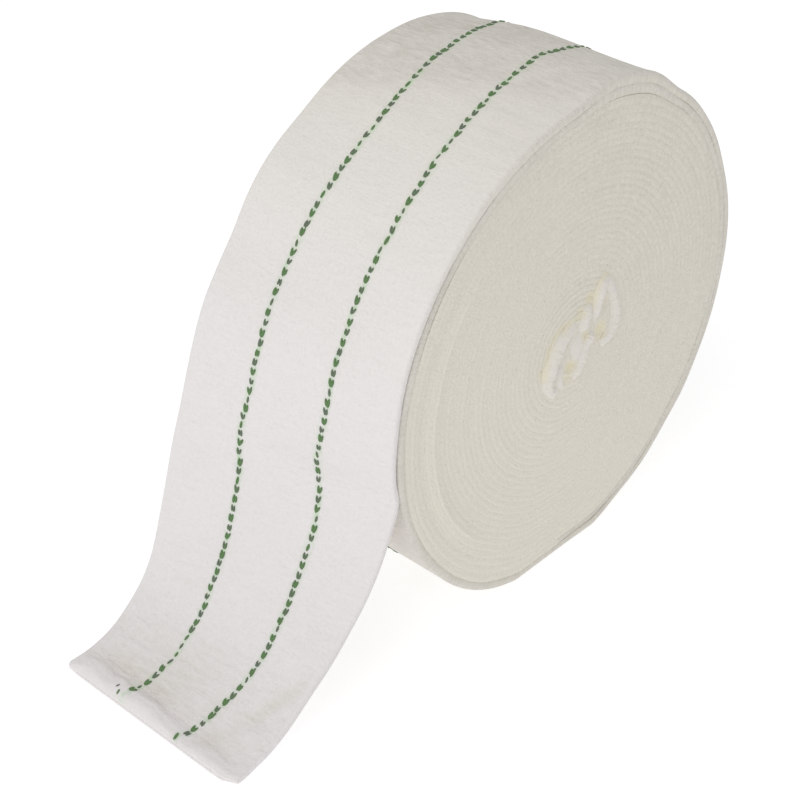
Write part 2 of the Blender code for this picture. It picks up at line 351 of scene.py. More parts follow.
@dataclass
class ClothMesh:
    """Grids of points that become one mesh, with the cloth's own coordinates at every corner."""

    name: str
    points: list = field(default_factory=list)
    quads: list = field(default_factory=list)
    corners: list = field(default_factory=list)
    extra_faces: list = field(default_factory=list)
    extra_corners: list = field(default_factory=list)
    values: dict = field(default_factory=dict)
    count: int = 0

    def add_points(self, points: np.ndarray, values: dict) -> int:
        """Adds points and their named values.

        Args:
            points: the points, x, y and z last.
            values: named values, each of the same shape as the points without their last axis.

        Returns:
            The index of the first point.
        """
        flat = points.reshape(-1, 3)
        self.points.append(flat)
        for key in VALUE_NAMES:
            given = np.broadcast_to(values.get(key, 0.0), points.shape[:-1]).reshape(-1)
            self.values.setdefault(key, []).append(given)
        first = self.count
        self.count += len(flat)
        return first

    def add_loops(self, points: np.ndarray, uv: np.ndarray, inward: bool = False, **values: np.ndarray) -> np.ndarray:
        """Adds closed loops, one after another, and the faces between them.

        Args:
            points: loops by places round each loop by 3.
            uv: loops by places and one more, where the last closes the loop, by 2.
            inward: whether the faces look into the tube.
            values: named values of the points.

        Returns:
            The points' indices, loops by places.
        """
        loops, places = points.shape[:2]
        first = self.add_points(points, values)
        index = first + np.arange(loops * places).reshape(loops, places)
        a, b = index, np.roll(index, -1, axis=1)
        quads = np.stack([a[:-1], a[1:], b[1:], b[:-1]], -1)
        left, right = uv[:, :-1], uv[:, 1:]
        corners = np.stack([left[:-1], left[1:], right[1:], right[:-1]], -2)
        if inward:
            quads, corners = quads[..., ::-1], corners[..., ::-1, :]
        self.quads.append(quads.reshape(-1, 4))
        self.corners.append(corners.reshape(-1, 4, 2))
        return index

    def add_strip(self, first: np.ndarray, second: np.ndarray, uv_first: np.ndarray, uv_second: np.ndarray) -> None:
        """Adds the faces between two closed rows of points that are already there.

        Args:
            first: indices of one row.
            second: indices of the other.
            uv_first: the cloth's coordinates along the first row, with its start again at the end.
            uv_second: the same for the other row.
        """
        for k in range(len(first)):
            n = (k + 1) % len(first)
            self.extra_faces.append((first[k], second[k], second[n], first[n]))
            self.extra_corners += [uv_first[k], uv_second[k], uv_second[k + 1], uv_first[k + 1]]

    def add_corner(self, loop: np.ndarray, uv: np.ndarray, corner: tuple) -> None:
        """Adds one face between places of a loop."""
        self.extra_faces.append(tuple(loop[k] for k in corner))
        self.extra_corners += [uv[k] for k in corner]

    def close(self, loop: np.ndarray, uv: np.ndarray, upper: int, fold: int, facing_back: bool) -> None:
        """Closes a section's loop with a zip of triangles between its upper ply and its lower one.

        Args:
            loop: indices of the loop's points: upper ply, near fold, lower ply, far fold.
            uv: the cloth's coordinates at those points.
            upper: how many points the upper ply has.
            fold: how many points each fold has.
            facing_back: whether the closing faces look back along the tube.
        """
        near_half = fold // 2
        top = [*range(len(loop) - near_half, len(loop)), *range(upper + near_half)]
        low = [k for k in range(len(loop)) if k not in top][::-1]
        i = j = 0
        while i < len(top) - 1 or j < len(low) - 1:
            step_top = j == len(low) - 1 or (i < len(top) - 1 and (i + 1) / len(top) <= (j + 1) / len(low))
            corner = (top[i], top[i + 1], low[j]) if step_top else (top[i], low[j + 1], low[j])
            self.add_corner(loop, uv, corner if facing_back else corner[::-1])
            i, j = (i + 1, j) if step_top else (i, j + 1)

    def build(self, material: bpy.types.Material, sharp: float) -> bpy.types.Object:
        """Makes the object.

        Args:
            material: its finish.
            sharp: edges that turn by more than this many degrees stay sharp.

        Returns:
            The new object.
        """
        faces = [*np.vstack(self.quads).tolist(), *self.extra_faces]
        values = {key: np.concatenate(parts) for key, parts in self.values.items()}
        piece = make_piece(self.name, np.vstack(self.points), faces, values, material)
        corners = np.vstack([*(c.reshape(-1, 2) for c in self.corners), np.array(self.extra_corners).reshape(-1, 2)])
        layer = piece.data.uv_layers.new(name=UV_NAME)
        layer.data.foreach_set("uv", corners.astype(np.float32).ravel())
        piece.data.set_sharp_from_angle(angle=radians(sharp))
        return piece


@dataclass
class WoundTurns:
    """All the turns under the outer cloth, as one flat tube wound from the hub outward."""

    winding: Winding
    turns: float = 37.7
    station_run: float = 2.9 * MM
    most_turn: float = 9.0
    near_places: tuple = (1.0, 0.78, 0.54, 0.28, 0.0, -0.28, -0.54, -0.78, -1.0)
    far_places: tuple = (-1.0, -0.75, 0.0, 0.75, 1.0)
    crown: float = 0.1 * MM
    outer_crown: float = 0.16 * MM
    crown_settles: float = 2.0
    wander: float = 0.02 * MM
    wander_step: float = 38.0
    wander_spots: int = 512
    sharp: float = 58.0
    ridge_fade: float = 26.0
    # Painted shade over the wound face, deepening toward its top and toward +Y, and more on the outer turns.
    painted_shade_most: float = 0.6
    painted_shade_outer: float = 0.5
    painted_shade_from: float = -60 * MM
    painted_shade_over: float = 160 * MM
    ridge_shares: tuple = ((-1, 0.4), (0, 1.0), (1, 0.4))
    ridges: tuple = (
        # radius mm, first degrees, last degrees, height mm
        (67.6, 112.0, 240.0, 0.75),
        (72.6, 112.0, 240.0, -0.35),
        (67.6, 240.0, 272.0, -0.25),
        (76.8, 128.0, 222.0, 0.15),
        (61.0, 126.0, 196.0, 0.2),
        (55.0, 128.0, 204.0, 0.28),
        (45.0, 132.0, 218.0, 0.25),
        (38.5, 140.0, 236.0, 0.16),
        (50.0, 20.0, 90.0, 0.14),
        (77.0, 30.0, 96.0, 0.15),
        (30.0, 330.0, 402.0, 0.16),
        (27.5, 150.0, 260.0, 0.16),
    )
    seed: int = 11

    def angles(self) -> np.ndarray:
        """Lays out the sections, from the hub outward.

        Returns:
            The angles, rising.
        """
        angles = [self.winding.joint]
        last = self.winding.split - 360 * self.turns
        while angles[-1] > last:
            radius = float(self.winding.base(self.winding.turns_in(np.array(angles[-1]))))
            step = min(np.degrees(self.station_run / max(radius, MM)), self.most_turn)
            angles.append(angles[-1] - step)
        return np.array(angles[::-1])

    def edge_shift(self, degrees: np.ndarray) -> np.ndarray:
        """How far the near edge of each turn stands out of the face.

        Args:
            degrees: winding angles.

        Returns:
            The distances, in metres.
        """
        spots = np.random.default_rng(self.seed).normal(0.0, self.wander, self.wander_spots)
        place = (degrees - self.winding.joint) / self.wander_step
        cell = np.floor(place).astype(int)
        shift = spots[cell] + (spots[cell + 1] - spots[cell]) * smooth(place - cell)
        for ridge_radius, first, last, height in self.ridges:
            middle = (first + last) / 2
            turn = self.winding.winding_angle(ridge_radius * MM, middle) - middle
            for step, share in self.ridge_shares:
                rise, fall = degrees - (turn + 360 * step + first), (turn + 360 * step + last) - degrees
                eased_in = smooth(rise / self.ridge_fade) * smooth(fall / self.ridge_fade)
                shift = shift + height * share * MM * eased_in
        return shift

    def lengths(self, degrees: np.ndarray, radius: np.ndarray) -> np.ndarray:
        """Distance along the tube at each section."""
        steps = np.radians(np.diff(degrees)) * (radius[1:] + radius[:-1]) / 2
        return np.concatenate([[0.0], np.cumsum(steps)])

    def build(self, material: bpy.types.Material, hub: "HubFold") -> bpy.types.Object:
        """Makes the wound turns and the hub's fold as one piece.

        Args:
            material: the cloth's finish.
            hub: the puffy fold at the hub.

        Returns:
            The new object.
        """
        mesh = ClothMesh("wound_turns")
        half = self.winding.tube.half
        degrees = self.angles()
        settled = np.exp(-(self.winding.turns_in(degrees) - 1) / self.crown_settles)[:, None]
        crown = self.crown + (self.outer_crown - self.crown) * settled
        sides = []
        for across, places in ((1.0, self.near_places), (-1.0, self.far_places)):
            outer = self.winding.side(degrees, np.array(across))
            thick = self.winding.thickness(degrees, np.array(across))
            middle = outer - thick / 2
            reach = half + (hub.dome(middle) if across > 0 else 0 * middle)
            place = np.array(places)[None, :]
            x = across * (reach[:, None] - crown * (1 - hump(place)))
            if across > 0:
                own, outward, inward = (self.edge_shift(degrees + step)[:, None] for step in (0, 360, -360))
                x = x + own + (np.where(place > 0, outward, inward) - own) / 2 * smooth(np.abs(place))
            radius = middle[:, None] + place * thick[:, None] / 2
            sides.append(self.winding.place(x, radius, degrees[:, None]))
        points = np.concatenate(sides, axis=1)
        near = len(self.near_places)
        points[:, :near, 0] -= hub.hollow_depth(points[:, :near])
        outermost = points[:, near // 2, 1:] - [0.0, self.winding.axis_height]
        along = self.lengths(degrees, np.linalg.norm(outermost, axis=1))
        thickness = self.winding.tube.thickness
        near_v = half + (1 - np.array(self.near_places)) * thickness / 2
        far_v = near_v[-1] + 2 * half + (1 + np.array(self.far_places)) * thickness / 2
        v = np.concatenate([near_v, far_v, [near_v[0] + 4 * half + 2 * thickness]])
        uv = np.stack(np.broadcast_arrays(along[:, None], v[None, :]), -1)
        # Paints yellowed shade in the hub's creases and hollows, and shade that deepens toward the face's top and
        # toward +Y; the whole face gets the creamy tint, which partly stands in for shade.
        hollow = hub.hub_fold_shade(points)
        rise = points[..., 1] + points[..., 2] - self.winding.axis_height
        grey = (self.painted_shade_most + self.painted_shade_outer * settled) * smooth((rise - self.painted_shade_from) / self.painted_shade_over)
        index = mesh.add_loops(points, uv, cream=np.ones(points.shape[:2]), hollow=hollow, grey=grey)
        self.end_cap(mesh, index[0], uv[0], True)
        self.end_cap(mesh, index[-1], uv[-1], False)
        hub.add_to(mesh)
        piece = mesh.build(material, self.sharp)
        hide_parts("roll")
        LOG.info("wound_turns: %d sections, %.2f m of tube", len(degrees), along[-1])
        return piece

    def end_cap(self, mesh: ClothMesh, loop: np.ndarray, uv: np.ndarray, facing_back: bool) -> None:
        """Closes the first or last section: the near fold's half that lies outside meets the far fold's.

        Args:
            mesh: the mesh that the section is in.
            loop: indices of the section's points.
            uv: the cloth's coordinates at those points.
            facing_back: whether the closing faces look back along the tube.
        """
        near, count = len(self.near_places), len(loop)
        top = [*range(near + len(self.far_places) // 2, count), *range(near // 2 + 1)]
        low = [*range(near + len(self.far_places) // 2, near // 2, -1), near // 2]
        steps = max(len(top), len(low))
        for k in range(steps - 1):
            a, b = top[min(k, len(top) - 1)], top[min(k + 1, len(top) - 1)]
            c, d = low[min(k + 1, len(low) - 1)], low[min(k, len(low) - 1)]
            corner = list(dict.fromkeys((a, b, c, d)))
            if len(corner) < 3:
                continue
            mesh.add_corner(loop, uv, corner if facing_back else corner[::-1])


@dataclass
class HubFold:
    """The start of the tube, doubled into a puffy figure that stands out of the near face."""

    winding: Winding
    root_depth: float = 5.0 * MM
    root_width: float = 0.9
    girth: float = 8 * MM
    curve_steps: int = 8
    arc_steps: int = 12
    lumps: float = 0.11
    sink: float = 0.35 * MM
    softness: float = 2.6
    spread: float = 1.08
    height_share: float = 1.1
    gathers: float = 0.08
    edge_level: float = 0.75
    dome_radius: float = 26 * MM
    dome_height: float = 0.8 * MM
    # Painted shade, tinted yellow, along the crease beside the strands and in the hollows between them; the strands get
    # less of the creamy tint, itself partly painted shade, so that they look lit.
    crease_reach: float = 1.6 * MM
    strand_cream: float = 0.6
    crease_shade: float = 0.5
    crease_core: float = 1.2
    hollow_core: float = 1.15
    crease: tuple = (
        # y mm, z mm from the roll's axis: the fold beside the strands, where yellowed shade is painted
        (14.0, 20.4), (8.8, 18.6), (6.2, 12.0), (2.6, 10.6), (-1.4, 10.2), (-9.0, 10.4), (-12.8, 7.4), (-15.4, 1.0),
        (-16.4, -5.0),
    )
    strands: tuple = (
        # rows of (y mm, z mm, half width mm, height mm) from the roll's axis
        ((8.4, 4.6, 1.0, -1.0), (8.5, 7.2, 2.1, 0.9), (9.2, 12.6, 2.5, 1.8), (10.4, 16.2, 2.5, 1.9),
         (12.8, 18.0, 2.3, 1.2), (15.6, 15.4, 2.2, 0.6), (17.8, 11.3, 2.4, 0.9), (19.4, 6.9, 2.6, 1.4),
         (19.8, 0.6, 2.6, 1.6), (18.0, -3.1, 2.4, 1.2), (14.6, -5.0, 2.1, 0.5), (11.0, -5.2, 1.1, -1.0)),
        ((5.8, 14.0, 1.0, -1.0), (4.4, 11.4, 2.1, 1.1), (3.0, 8.8, 2.3, 1.6), (1.8, 6.0, 2.0, 1.2),
         (0.8, 3.8, 1.0, -1.0)),
        ((0.6, 9.4, 1.0, -1.0), (-3.4, 8.2, 2.2, 0.8), (-8.6, 5.0, 2.6, 1.6), (-11.6, 0.8, 2.6, 1.8),
         (-13.4, -4.0, 2.6, 1.8), (-13.8, -7.6, 2.5, 1.7), (-12.2, -11.0, 2.3, 1.2), (-9.4, -13.4, 2.0, 0.5),
         (-6.2, -14.6, 1.1, -1.0)),
        ((8.2, 3.0, 1.0, -1.0), (6.8, 0.8, 2.1, 1.1), (4.8, -2.0, 2.2, 0.9), (3.4, -4.8, 2.3, 1.4),
         (2.0, -7.6, 2.3, 1.5), (0.8, -11.0, 2.0, 0.8), (0.8, -13.8, 1.0, -1.0)),
        ((-6.4, -1.0, 0.8, -1.0), (-8.0, -4.6, 1.6, 0.5), (-8.0, -9.0, 1.7, 0.7), (-5.4, -13.2, 1.4, 0.2),
         (-3.0, -14.6, 0.7, -1.0)),
        ((-4.4, 5.6, 2.2, -0.4), (-2.0, 3.2, 3.0, 0.2), (-0.2, -0.4, 3.4, 0.3), (1.2, -4.2, 3.0, 0.1),
         (2.0, -7.0, 2.0, -0.5)),
    )
    far_strands: tuple = (
        # rows of (y mm, z mm, half width mm, height mm) from the roll's axis, on the far face
        ((-5.6, 6.6, 1.2, -1.0), (-3.4, 4.4, 2.6, 0.5), (-0.6, 0.6, 3.2, 1.0), (1.6, -3.4, 2.8, 0.7),
         (3.6, -7.6, 1.4, -1.0)),
        ((-1.4, 6.8, 1.0, -1.0), (1.0, 5.2, 2.0, 0.5), (4.0, 1.6, 2.2, 0.7), (5.4, -2.6, 2.0, 0.4),
         (5.6, -6.0, 1.0, -1.0)),
    )
    hollows: tuple = (
        # y mm, z mm, radius mm, depth mm, share of yellowed painted shade
        (12.0, 0.6, 4.2, 0.8, 0.9),
        (14.0, -2.6, 3.4, 0.6, 0.6),
        (3.4, 2.0, 3.2, 0.5, 0.6),
        (-2.6, -6.6, 3.8, 0.8, 0.9),
        (-3.6, -10.6, 3.0, 0.5, 0.5),
        (13.6, 10.0, 3.6, 0.7, 0.3),
        (4.8, 15.0, 3.0, 0.5, 0.8),
        (0.2, 12.4, 2.6, 0.4, 0.6),
        (-7.2, 9.4, 2.6, 0.4, 0.5),
        (-13.8, 5.2, 2.6, 0.4, 0.5),
        (-16.8, -2.0, 2.6, 0.4, 0.4),
    )
    seed: int = 5

    def away(self, points: np.ndarray, y: float, z: float) -> np.ndarray:
        """Distance in the face from a place given in millimetres from the roll's axis."""
        return np.hypot(points[..., 1] - y * MM, points[..., 2] - self.winding.axis_height - z * MM)

    def hollow_depth(self, points: np.ndarray) -> np.ndarray:
        """How far the face sinks between the strands.

        Args:
            points: points of the face.

        Returns:
            The depth at each point, in metres.
        """
        depth = np.zeros(points.shape[:-1])
        for y, z, radius, sink, _ in self.hollows:
            depth = np.maximum(depth, sink * MM * smooth(1 - self.away(points, y, z) / (radius * MM)))
        return depth

    def dome(self, radius: np.ndarray) -> np.ndarray:
        """How far the face stands out at a distance from the axis."""
        return self.dome_height * smooth(1 - radius / self.dome_radius)

    def hub_fold_shade(self, points: np.ndarray) -> np.ndarray:
        """How much painted shade of a deep fold, tinted yellow, shows.

        Args:
            points: points of the cloth.

        Returns:
            The share at each point, from 0 to 1.
        """
        hub_shade_tint = np.zeros(points.shape[:-1])
        flat = points[..., 1:] - [0.0, self.winding.axis_height]
        knots = np.array(self.crease) * MM
        for a, b in zip(knots, knots[1:]):
            share = np.clip(((flat - a) @ (b - a)) / ((b - a) @ (b - a)), 0.0, 1.0)
            away = np.linalg.norm(flat - a - share[..., None] * (b - a), axis=-1)
            hub_shade_tint = np.maximum(hub_shade_tint, self.crease_shade * smooth(self.crease_core - away / self.crease_reach))
        for y, z, radius, _, share in self.hollows:
            hub_shade_tint = np.maximum(hub_shade_tint, share * smooth(self.hollow_core - self.away(points, y, z) / (radius * MM)))
        return hub_shade_tint * (points[..., 0] > 0)

    def add_to(self, mesh: ClothMesh) -> None:
        """Adds the strands to a mesh.

        Args:
            mesh: the mesh of the wound turns.
        """
        noise = np.random.default_rng(self.seed)
        for rows in (*self.strands, *self.far_strands):
            far = rows in self.far_strands
            table = np.array(rows) * MM
            knots = np.vstack([2 * table[0] - table[1], table, 2 * table[-1] - table[-2]])
            curve = knots_curve(knots, self.curve_steps)
            route, half_width, height = curve[:, :2], curve[:, 2], curve[:, 3]
            puffs = noise.normal(1.0, self.lumps, len(rows))
            puff = np.interp(np.arange(len(curve)) / self.curve_steps, np.arange(len(rows)), puffs)
            ahead = unit(np.gradient(route, axis=0))
            side = np.stack([ahead[:, 1], -ahead[:, 0]], -1)
            turn = np.linspace(0.0, pi, self.arc_steps + 1)
            across = np.concatenate([np.cos(turn), [-self.root_width, self.root_width]])
            level = np.concatenate([np.sin(turn), [0.0, 0.0]])
            gathered = height * self.height_share * puff * noise.normal(1.0, self.gathers, len(curve))
            rise = (gathered + self.sink)[:, None] * level[None, :] ** self.softness
            wide = self.spread * (half_width * puff)[:, None, None] * across[None, :, None]
            flat = route[:, None, :] + side[:, None, :] * wide
            base = self.winding.tube.half + (0.0 if far else self.dome(np.linalg.norm(flat, axis=-1)))
            top = base - self.sink + rise
            top[:, -2:] = self.winding.tube.half - self.root_depth
            reach = -top if far else top
            points = np.concatenate([reach[..., None], flat + [0.0, self.winding.axis_height]], -1)
            along = np.concatenate([[0.0], np.cumsum(np.linalg.norm(np.diff(route, axis=0), axis=1))])
            v = np.linspace(0.0, self.girth, points.shape[1] + 1)
            uv = np.stack(np.broadcast_arrays(along[:, None], v[None, :]), -1)
            # The near strands get less of the creamy tint so that they look lit; only their low sides get the painted
            # yellowed shade.
            cream = np.full(top.shape, 1.0 if far else self.strand_cream)
            index = mesh.add_loops(points, uv, far, cream=cream, hollow=self.hub_fold_shade(points) * (level < self.edge_level))
            for end in (0, -1):
                loop, places = index[end], uv[end]
                centre = mesh.add_points(points[end].mean(axis=0)[None, :], {"cream": np.ones(1)})
                for k, pair in enumerate(zip(loop, np.roll(loop, -1))):
                    mesh.extra_faces.append((*(pair[::-1] if far == (end == 0) else pair), centre))
                    mesh.extra_corners += [places[k], places[k + 1], places[0]]


@dataclass(frozen=True)
class MarkerRoutes:
    """Where the two marker lines run along the tube."""

    halo_reach: float = 0.85 * MM
    far: tuple = (
        # distance from the cut end mm, x mm
        (5.2, -11.5), (7.4, -12.2), (12.0, -11.8), (18.0, -11.0), (24.0, -10.2), (30.0, -10.1), (42.0, -10.3),
        (46.0, -11.0), (52.0, -10.6), (62.0, -10.4), (72.0, -11.2), (84.0, -12.0), (90.0, -12.8), (94.0, -13.9),
        (100.0, -14.5), (108.0, -13.3), (116.0, -12.5), (130.0, -12.2), (140.0, -12.6), (148.0, -13.0),
        (156.0, -12.8), (165.0, -12.4), (174.0, -11.7), (182.0, -11.0), (200.0, -10.8), (208.0, -11.2),
        (222.0, -12.3), (232.0, -13.6), (249.0, -14.8), (258.0, -16.8), (266.0, -17.3), (290.0, -15.5),
        (360.0, -12.5), (470.0, -13.5), (600.0, -12.0), (760.0, -13.5), (1000.0, -12.5),
    )
    near: tuple = (
        # distance from the cut end mm, x mm
        (1.2, 11.8), (4.0, 13.0), (6.5, 12.8), (11.0, 14.0), (17.0, 14.6), (22.0, 15.5), (26.0, 16.5), (30.0, 17.0),
        (40.0, 17.2), (48.0, 16.6), (56.0, 16.3), (62.0, 15.7), (80.0, 15.5), (87.0, 14.8), (92.0, 14.0),
        (96.0, 13.0), (99.5, 12.2), (103.0, 12.5), (110.0, 13.3), (116.0, 14.2), (130.0, 14.6), (140.0, 15.0),
        (150.0, 14.8), (157.0, 14.7), (175.0, 15.7), (188.0, 15.8), (198.0, 15.3), (209.0, 14.8), (216.0, 14.0),
        (227.0, 12.6), (234.0, 12.0), (241.0, 11.5), (252.0, 11.3), (262.0, 12.0), (290.0, 12.6), (360.0, 14.5),
        (470.0, 13.5), (600.0, 15.0), (760.0, 13.5), (1000.0, 14.5),
    )

    def place(self, rows: tuple, back: np.ndarray) -> np.ndarray:
        """The x of a line, in metres, at distances from the cut end."""
        table = np.array(rows) * MM
        return np.interp(back, table[:, 0], table[:, 1])

    def halo(self, back: np.ndarray, x: np.ndarray) -> np.ndarray:
        """How much green fluff lies on the cloth at each place."""
        near, far = (np.exp(-(((x - self.place(rows, back)) / self.halo_reach) ** 2)) for rows in (self.near, self.far))
        return np.maximum(near, far)


class Route:
    """A folded edge of the loose end in the y-z plane, read by the share of its length."""

    def __init__(self, winding: Winding, leaves: float, rows: tuple, hug_step: float = 6.0, steps: int = 12) -> None:
        """Sets the edge's curve.

        Args:
            winding: the roll that the edge starts on.
            leaves: the angle up to which it lies on the roll.
            rows: y and height, in millimetres, of the points after that.
            hug_step: degrees between the points on the roll.
            steps: points of the curve for each stretch.
        """
        angles = np.arange(winding.split - hug_step, leaves + hug_step / 2, hug_step)
        growth = winding.outer_pitch * (0.5 + (angles - winding.split) / 360)
        middle = winding.radius + growth - winding.tube.thickness / 2
        turn = np.radians(angles)
        on_roll = np.column_stack([middle * np.cos(turn), winding.axis_height + middle * np.sin(turn)])
        free = np.array(rows) * MM
        self.points = knots_curve(np.vstack([on_roll, free, 2 * free[-1] - free[-2]]), steps)
        runs = np.hypot(*np.diff(self.points, axis=0).T)
        self.length = float(runs.sum())
        self.shares = np.concatenate([[0.0], np.cumsum(runs)]) / self.length

    def at(self, share: np.ndarray) -> np.ndarray:
        """Points at shares of the length, y and z last."""
        return np.stack([np.interp(share, self.shares, self.points[:, axis]) for axis in (0, 1)], -1)


@dataclass
class OuterCloth:
    """The outer turn and the loose end: two plies, joined by their folds, from under the roll to the mouth."""

    winding: Winding
    markers: MarkerRoutes
    covered_until: float = -222.0
    covered_step: float = 3.2 * MM
    open_step: float = 1.15 * MM
    foot_step: float = 0.6 * MM
    foot_length: float = 48 * MM
    upper_count: int = 61
    edge_crowding: float = 0.25
    slope_run: float = 0.8 * MM
    slope_nudge: float = 0.01
    read_step: float = 0.7
    read_margin: float = 1.001
    edge_fade: float = 0.06
    sharp: float = 50.0
    lower_count: int = 17
    fold_turns: tuple = (76.0, 42.0, 0.0, -42.0, -76.0)
    fold_fullness: float = 0.62
    flat_levels: tuple = (1.0, 0.78, 0.0, -0.78, -1.0)
    flat_depths: tuple = (0.86, 0.97, 1.0, 0.97, 0.86)
    unfolds: float = 14 * MM
    far_leaves: float = 142.0
    far_edge: tuple = (
        # y mm, z mm
        (-73.5, 122.4), (-80.8, 112.9), (-86.7, 103.1), (-94.0, 83.2), (-100.0, 63.2), (-106.0, 43.2),
        (-111.6, 25.2), (-116.6, 15.8), (-122.6, 9.4), (-129.2, 4.6), (-135.0, 2.2), (-140.8, 1.2), (-149.4, 1.15),
    )
    near_leaves: float = 190.0
    near_edge: tuple = (
        # y mm, z mm
        (-86.0, 54.2), (-91.4, 43.2), (-98.2, 33.2), (-108.4, 23.2), (-122.0, 13.2), (-129.4, 8.4),
        (-136.4, 4.6), (-140.8, 2.5), (-144.4, 1.3), (-149.6, 1.15),
    )
    bow: float = 1.6 * MM
    bow_shares: tuple = (0.3, 0.65, 0.9)
    pocket_start: float = 0.1
    corner_widths: tuple = (3.0 * MM, 8.0 * MM)
    corner_depths: tuple = (2.2 * MM, 5.2 * MM)
    corner_folds: tuple = (2.0 * MM, 0.8 * MM)
    mouth_zone: float = 18 * MM
    lip_front_reach: float = 3.6 * MM
    lip_rear_reach: float = 3.3 * MM
    cut_thinning: float = 0.8 * MM
    cut_reach: float = 1.3 * MM
    mouth_gap: float = 0.22 * MM
    mouth_closes: float = 6 * MM
    lip_heights: tuple = (
        # place across from -1 to 1, lift mm, distance of the crest from the cut end mm
        (-1.0, 0.0, 2.6), (-0.93, 0.9, 3.0), (-0.84, 1.7, 4.2), (-0.7, 1.9, 4.5), (-0.58, 1.6, 3.3), (-0.44, 2.3, 4.2),
        (-0.3, 2.1, 3.1), (-0.18, 2.7, 3.6), (-0.04, 2.3, 3.9), (0.08, 1.9, 2.7), (0.2, 1.6, 3.1), (0.32, 0.9, 2.6),
        (0.44, 0.5, 2.8), (0.56, 1.4, 2.5), (0.66, 1.0, 2.9), (0.78, 1.3, 2.4), (0.93, 0.4, 2.7), (1.0, 0.0, 2.7),
    )
    ripple_gain: tuple = (
        # distance from the cut end mm, gain
        (0.0, 0.4), (8.0, 0.7), (20.0, 2.1), (44.0, 1.5), (80.0, 0.6), (150.0, 0.5), (190.0, 1.0),
        (220.0, 2.2), (300.0, 1.6), (1200.0, 1.0),
    )
    ripple_height: float = 0.1 * MM
    ripple_steps: tuple = (1.9 * MM, 15 * MM)
    pucker_height: float = 0.16 * MM
    pucker_steps: tuple = (8 * MM, 21 * MM)
    creases: tuple = (
        # distance from the cut end mm, x mm, half length across mm, half width along mm, slant, height mm
        (11.5, -22.0, 11.0, 4.4, -0.12, -0.75),
        (10.2, -4.0, 9.0, 3.6, 0.0, -0.6),
        (17.0, -4.0, 14.0, 5.5, 0.0, -0.35),
        (6.8, 21.0, 8.0, 3.0, 0.0, -0.4),
        (26.0, 29.0, 8.0, 6.5, 1.7, -0.9),
        (38.0, 24.0, 8.0, 7.0, 1.5, 0.4),
        (88.0, -27.0, 7.0, 4.0, 0.0, -0.25),
        (99.0, 6.0, 40.0, 3.6, 0.02, -0.3),
        (108.0, 0.0, 40.0, 4.0, 0.02, 0.2),
        (150.0, -8.0, 14.0, 2.6, 0.1, -0.15),
        (158.0, 24.0, 12.0, 2.6, -0.1, -0.15),
        (238.0, -23.0, 6.0, 4.0, 1.5, -0.5),
        (244.0, 4.0, 8.0, 4.5, 0.8, -0.35),
        (253.0, 28.0, 7.0, 4.5, 1.2, -0.6),
        (257.0, -20.0, 5.0, 4.0, 0.5, -0.5),
        (266.0, 0.0, 10.0, 4.0, 0.3, -0.3),
        (281.0, 0.0, 60.0, 9.0, 0.0, -1.2),
    )
    pleats: tuple = (
        # distance from the cut end mm, half length along mm, x mm, half length across mm, pitch mm, slant, height mm
        (25.0, 9.0, 2.0, 10.0, 3.05, 0.06, 0.17),
        (24.0, 10.0, 25.0, 8.0, 2.45, 0.2, 0.16),
        (22.0, 8.0, -24.0, 9.0, 3.3, -0.1, 0.15),
        (228.0, 14.0, 4.0, 16.0, 2.6, 0.1, 0.08),
        (226.0, 16.0, -26.0, 8.0, 2.9, -0.2, 0.08),
        (238.0, 14.0, 26.0, 9.0, 2.7, 0.25, 0.09),
    )
    # How much creamy tint lies on the folds and on the wound part of the cloth: partly the cotton's own, partly
    # standing in for the yellowed look of shade. The rest is painted shade: in the troughs of the relief, in zones
    # along the cloth (behind the lip, and toward the top of the roll where the surface turns from the light) and on the
    # near fold of the wound part.
    fold_creams: tuple = (0.0, 0.1, 0.5, 1.0, 1.0)
    warms_from: float = 105 * MM
    warms_over: float = 120 * MM
    wound_cream_and_shade: float = 0.55
    trough_depth: float = 1.2 * MM
    trough_yellowed_shade: float = 0.5
    trough_shade: float = 0.7
    painted_shade_zones: tuple = (
        # distance from the cut end mm, share of painted shade
        (0.0, 0.0), (3.0, 0.0), (8.0, 0.35), (18.0, 0.3), (26.0, 0.25), (40.0, 0.0), (208.0, 0.0), (219.0, 0.2),
        (230.0, 0.95), (270.0, 1.5), (320.0, 0.4), (1200.0, 0.2),
    )
    painted_shade_slant: float = 0.45
    fold_painted_shade: float = 1.0
    fold_shade_from: float = 150 * MM
    waver: float = 0.3 * MM
    waver_step: float = 11 * MM
    seed: int = 23
    waver_seeds: tuple = (5, 6)

    def __post_init__(self) -> None:
        """Works out the edges' routes and the surface's grid."""
        tube = self.winding.tube
        self.fold_radius = tube.thickness / 2
        self.half = tube.half - self.fold_radius
        self.far = Route(self.winding, self.far_leaves, self.far_edge)
        self.near = Route(self.winding, self.near_leaves, self.near_edge)
        self.loose_length = (self.far.length + self.near.length) / 2
        self.turn_length = 2 * pi * self.winding.radius
        self.lay_out()

    def lay_out(self) -> None:
        """Sets the sections' angles, shares and distances from the cut end, and the places across."""
        radius = self.winding.radius
        covered = np.arange(self.winding.joint, self.covered_until, np.degrees(self.covered_step / radius))
        opened = np.arange(self.covered_until, self.winding.split, np.degrees(self.open_step / radius))
        self.degrees = np.concatenate([covered, opened])
        upper = self.loose_length - self.foot_length
        lengths = np.concatenate([
            np.linspace(0.0, upper, int(upper / self.open_step), endpoint=False),
            np.linspace(upper, self.loose_length, int(self.foot_length / self.foot_step) + 1),
        ])
        self.shares = lengths / self.loose_length
        even = np.linspace(-1.0, 1.0, self.upper_count)
        self.across = even * (1 + self.edge_crowding - self.edge_crowding * even**2)
        self.low_across = np.linspace(1.0, -1.0, self.lower_count)
        wound = np.radians(self.winding.split - self.degrees) * radius
        self.back = np.concatenate([wound + self.loose_length, (1 - self.shares) * self.loose_length])

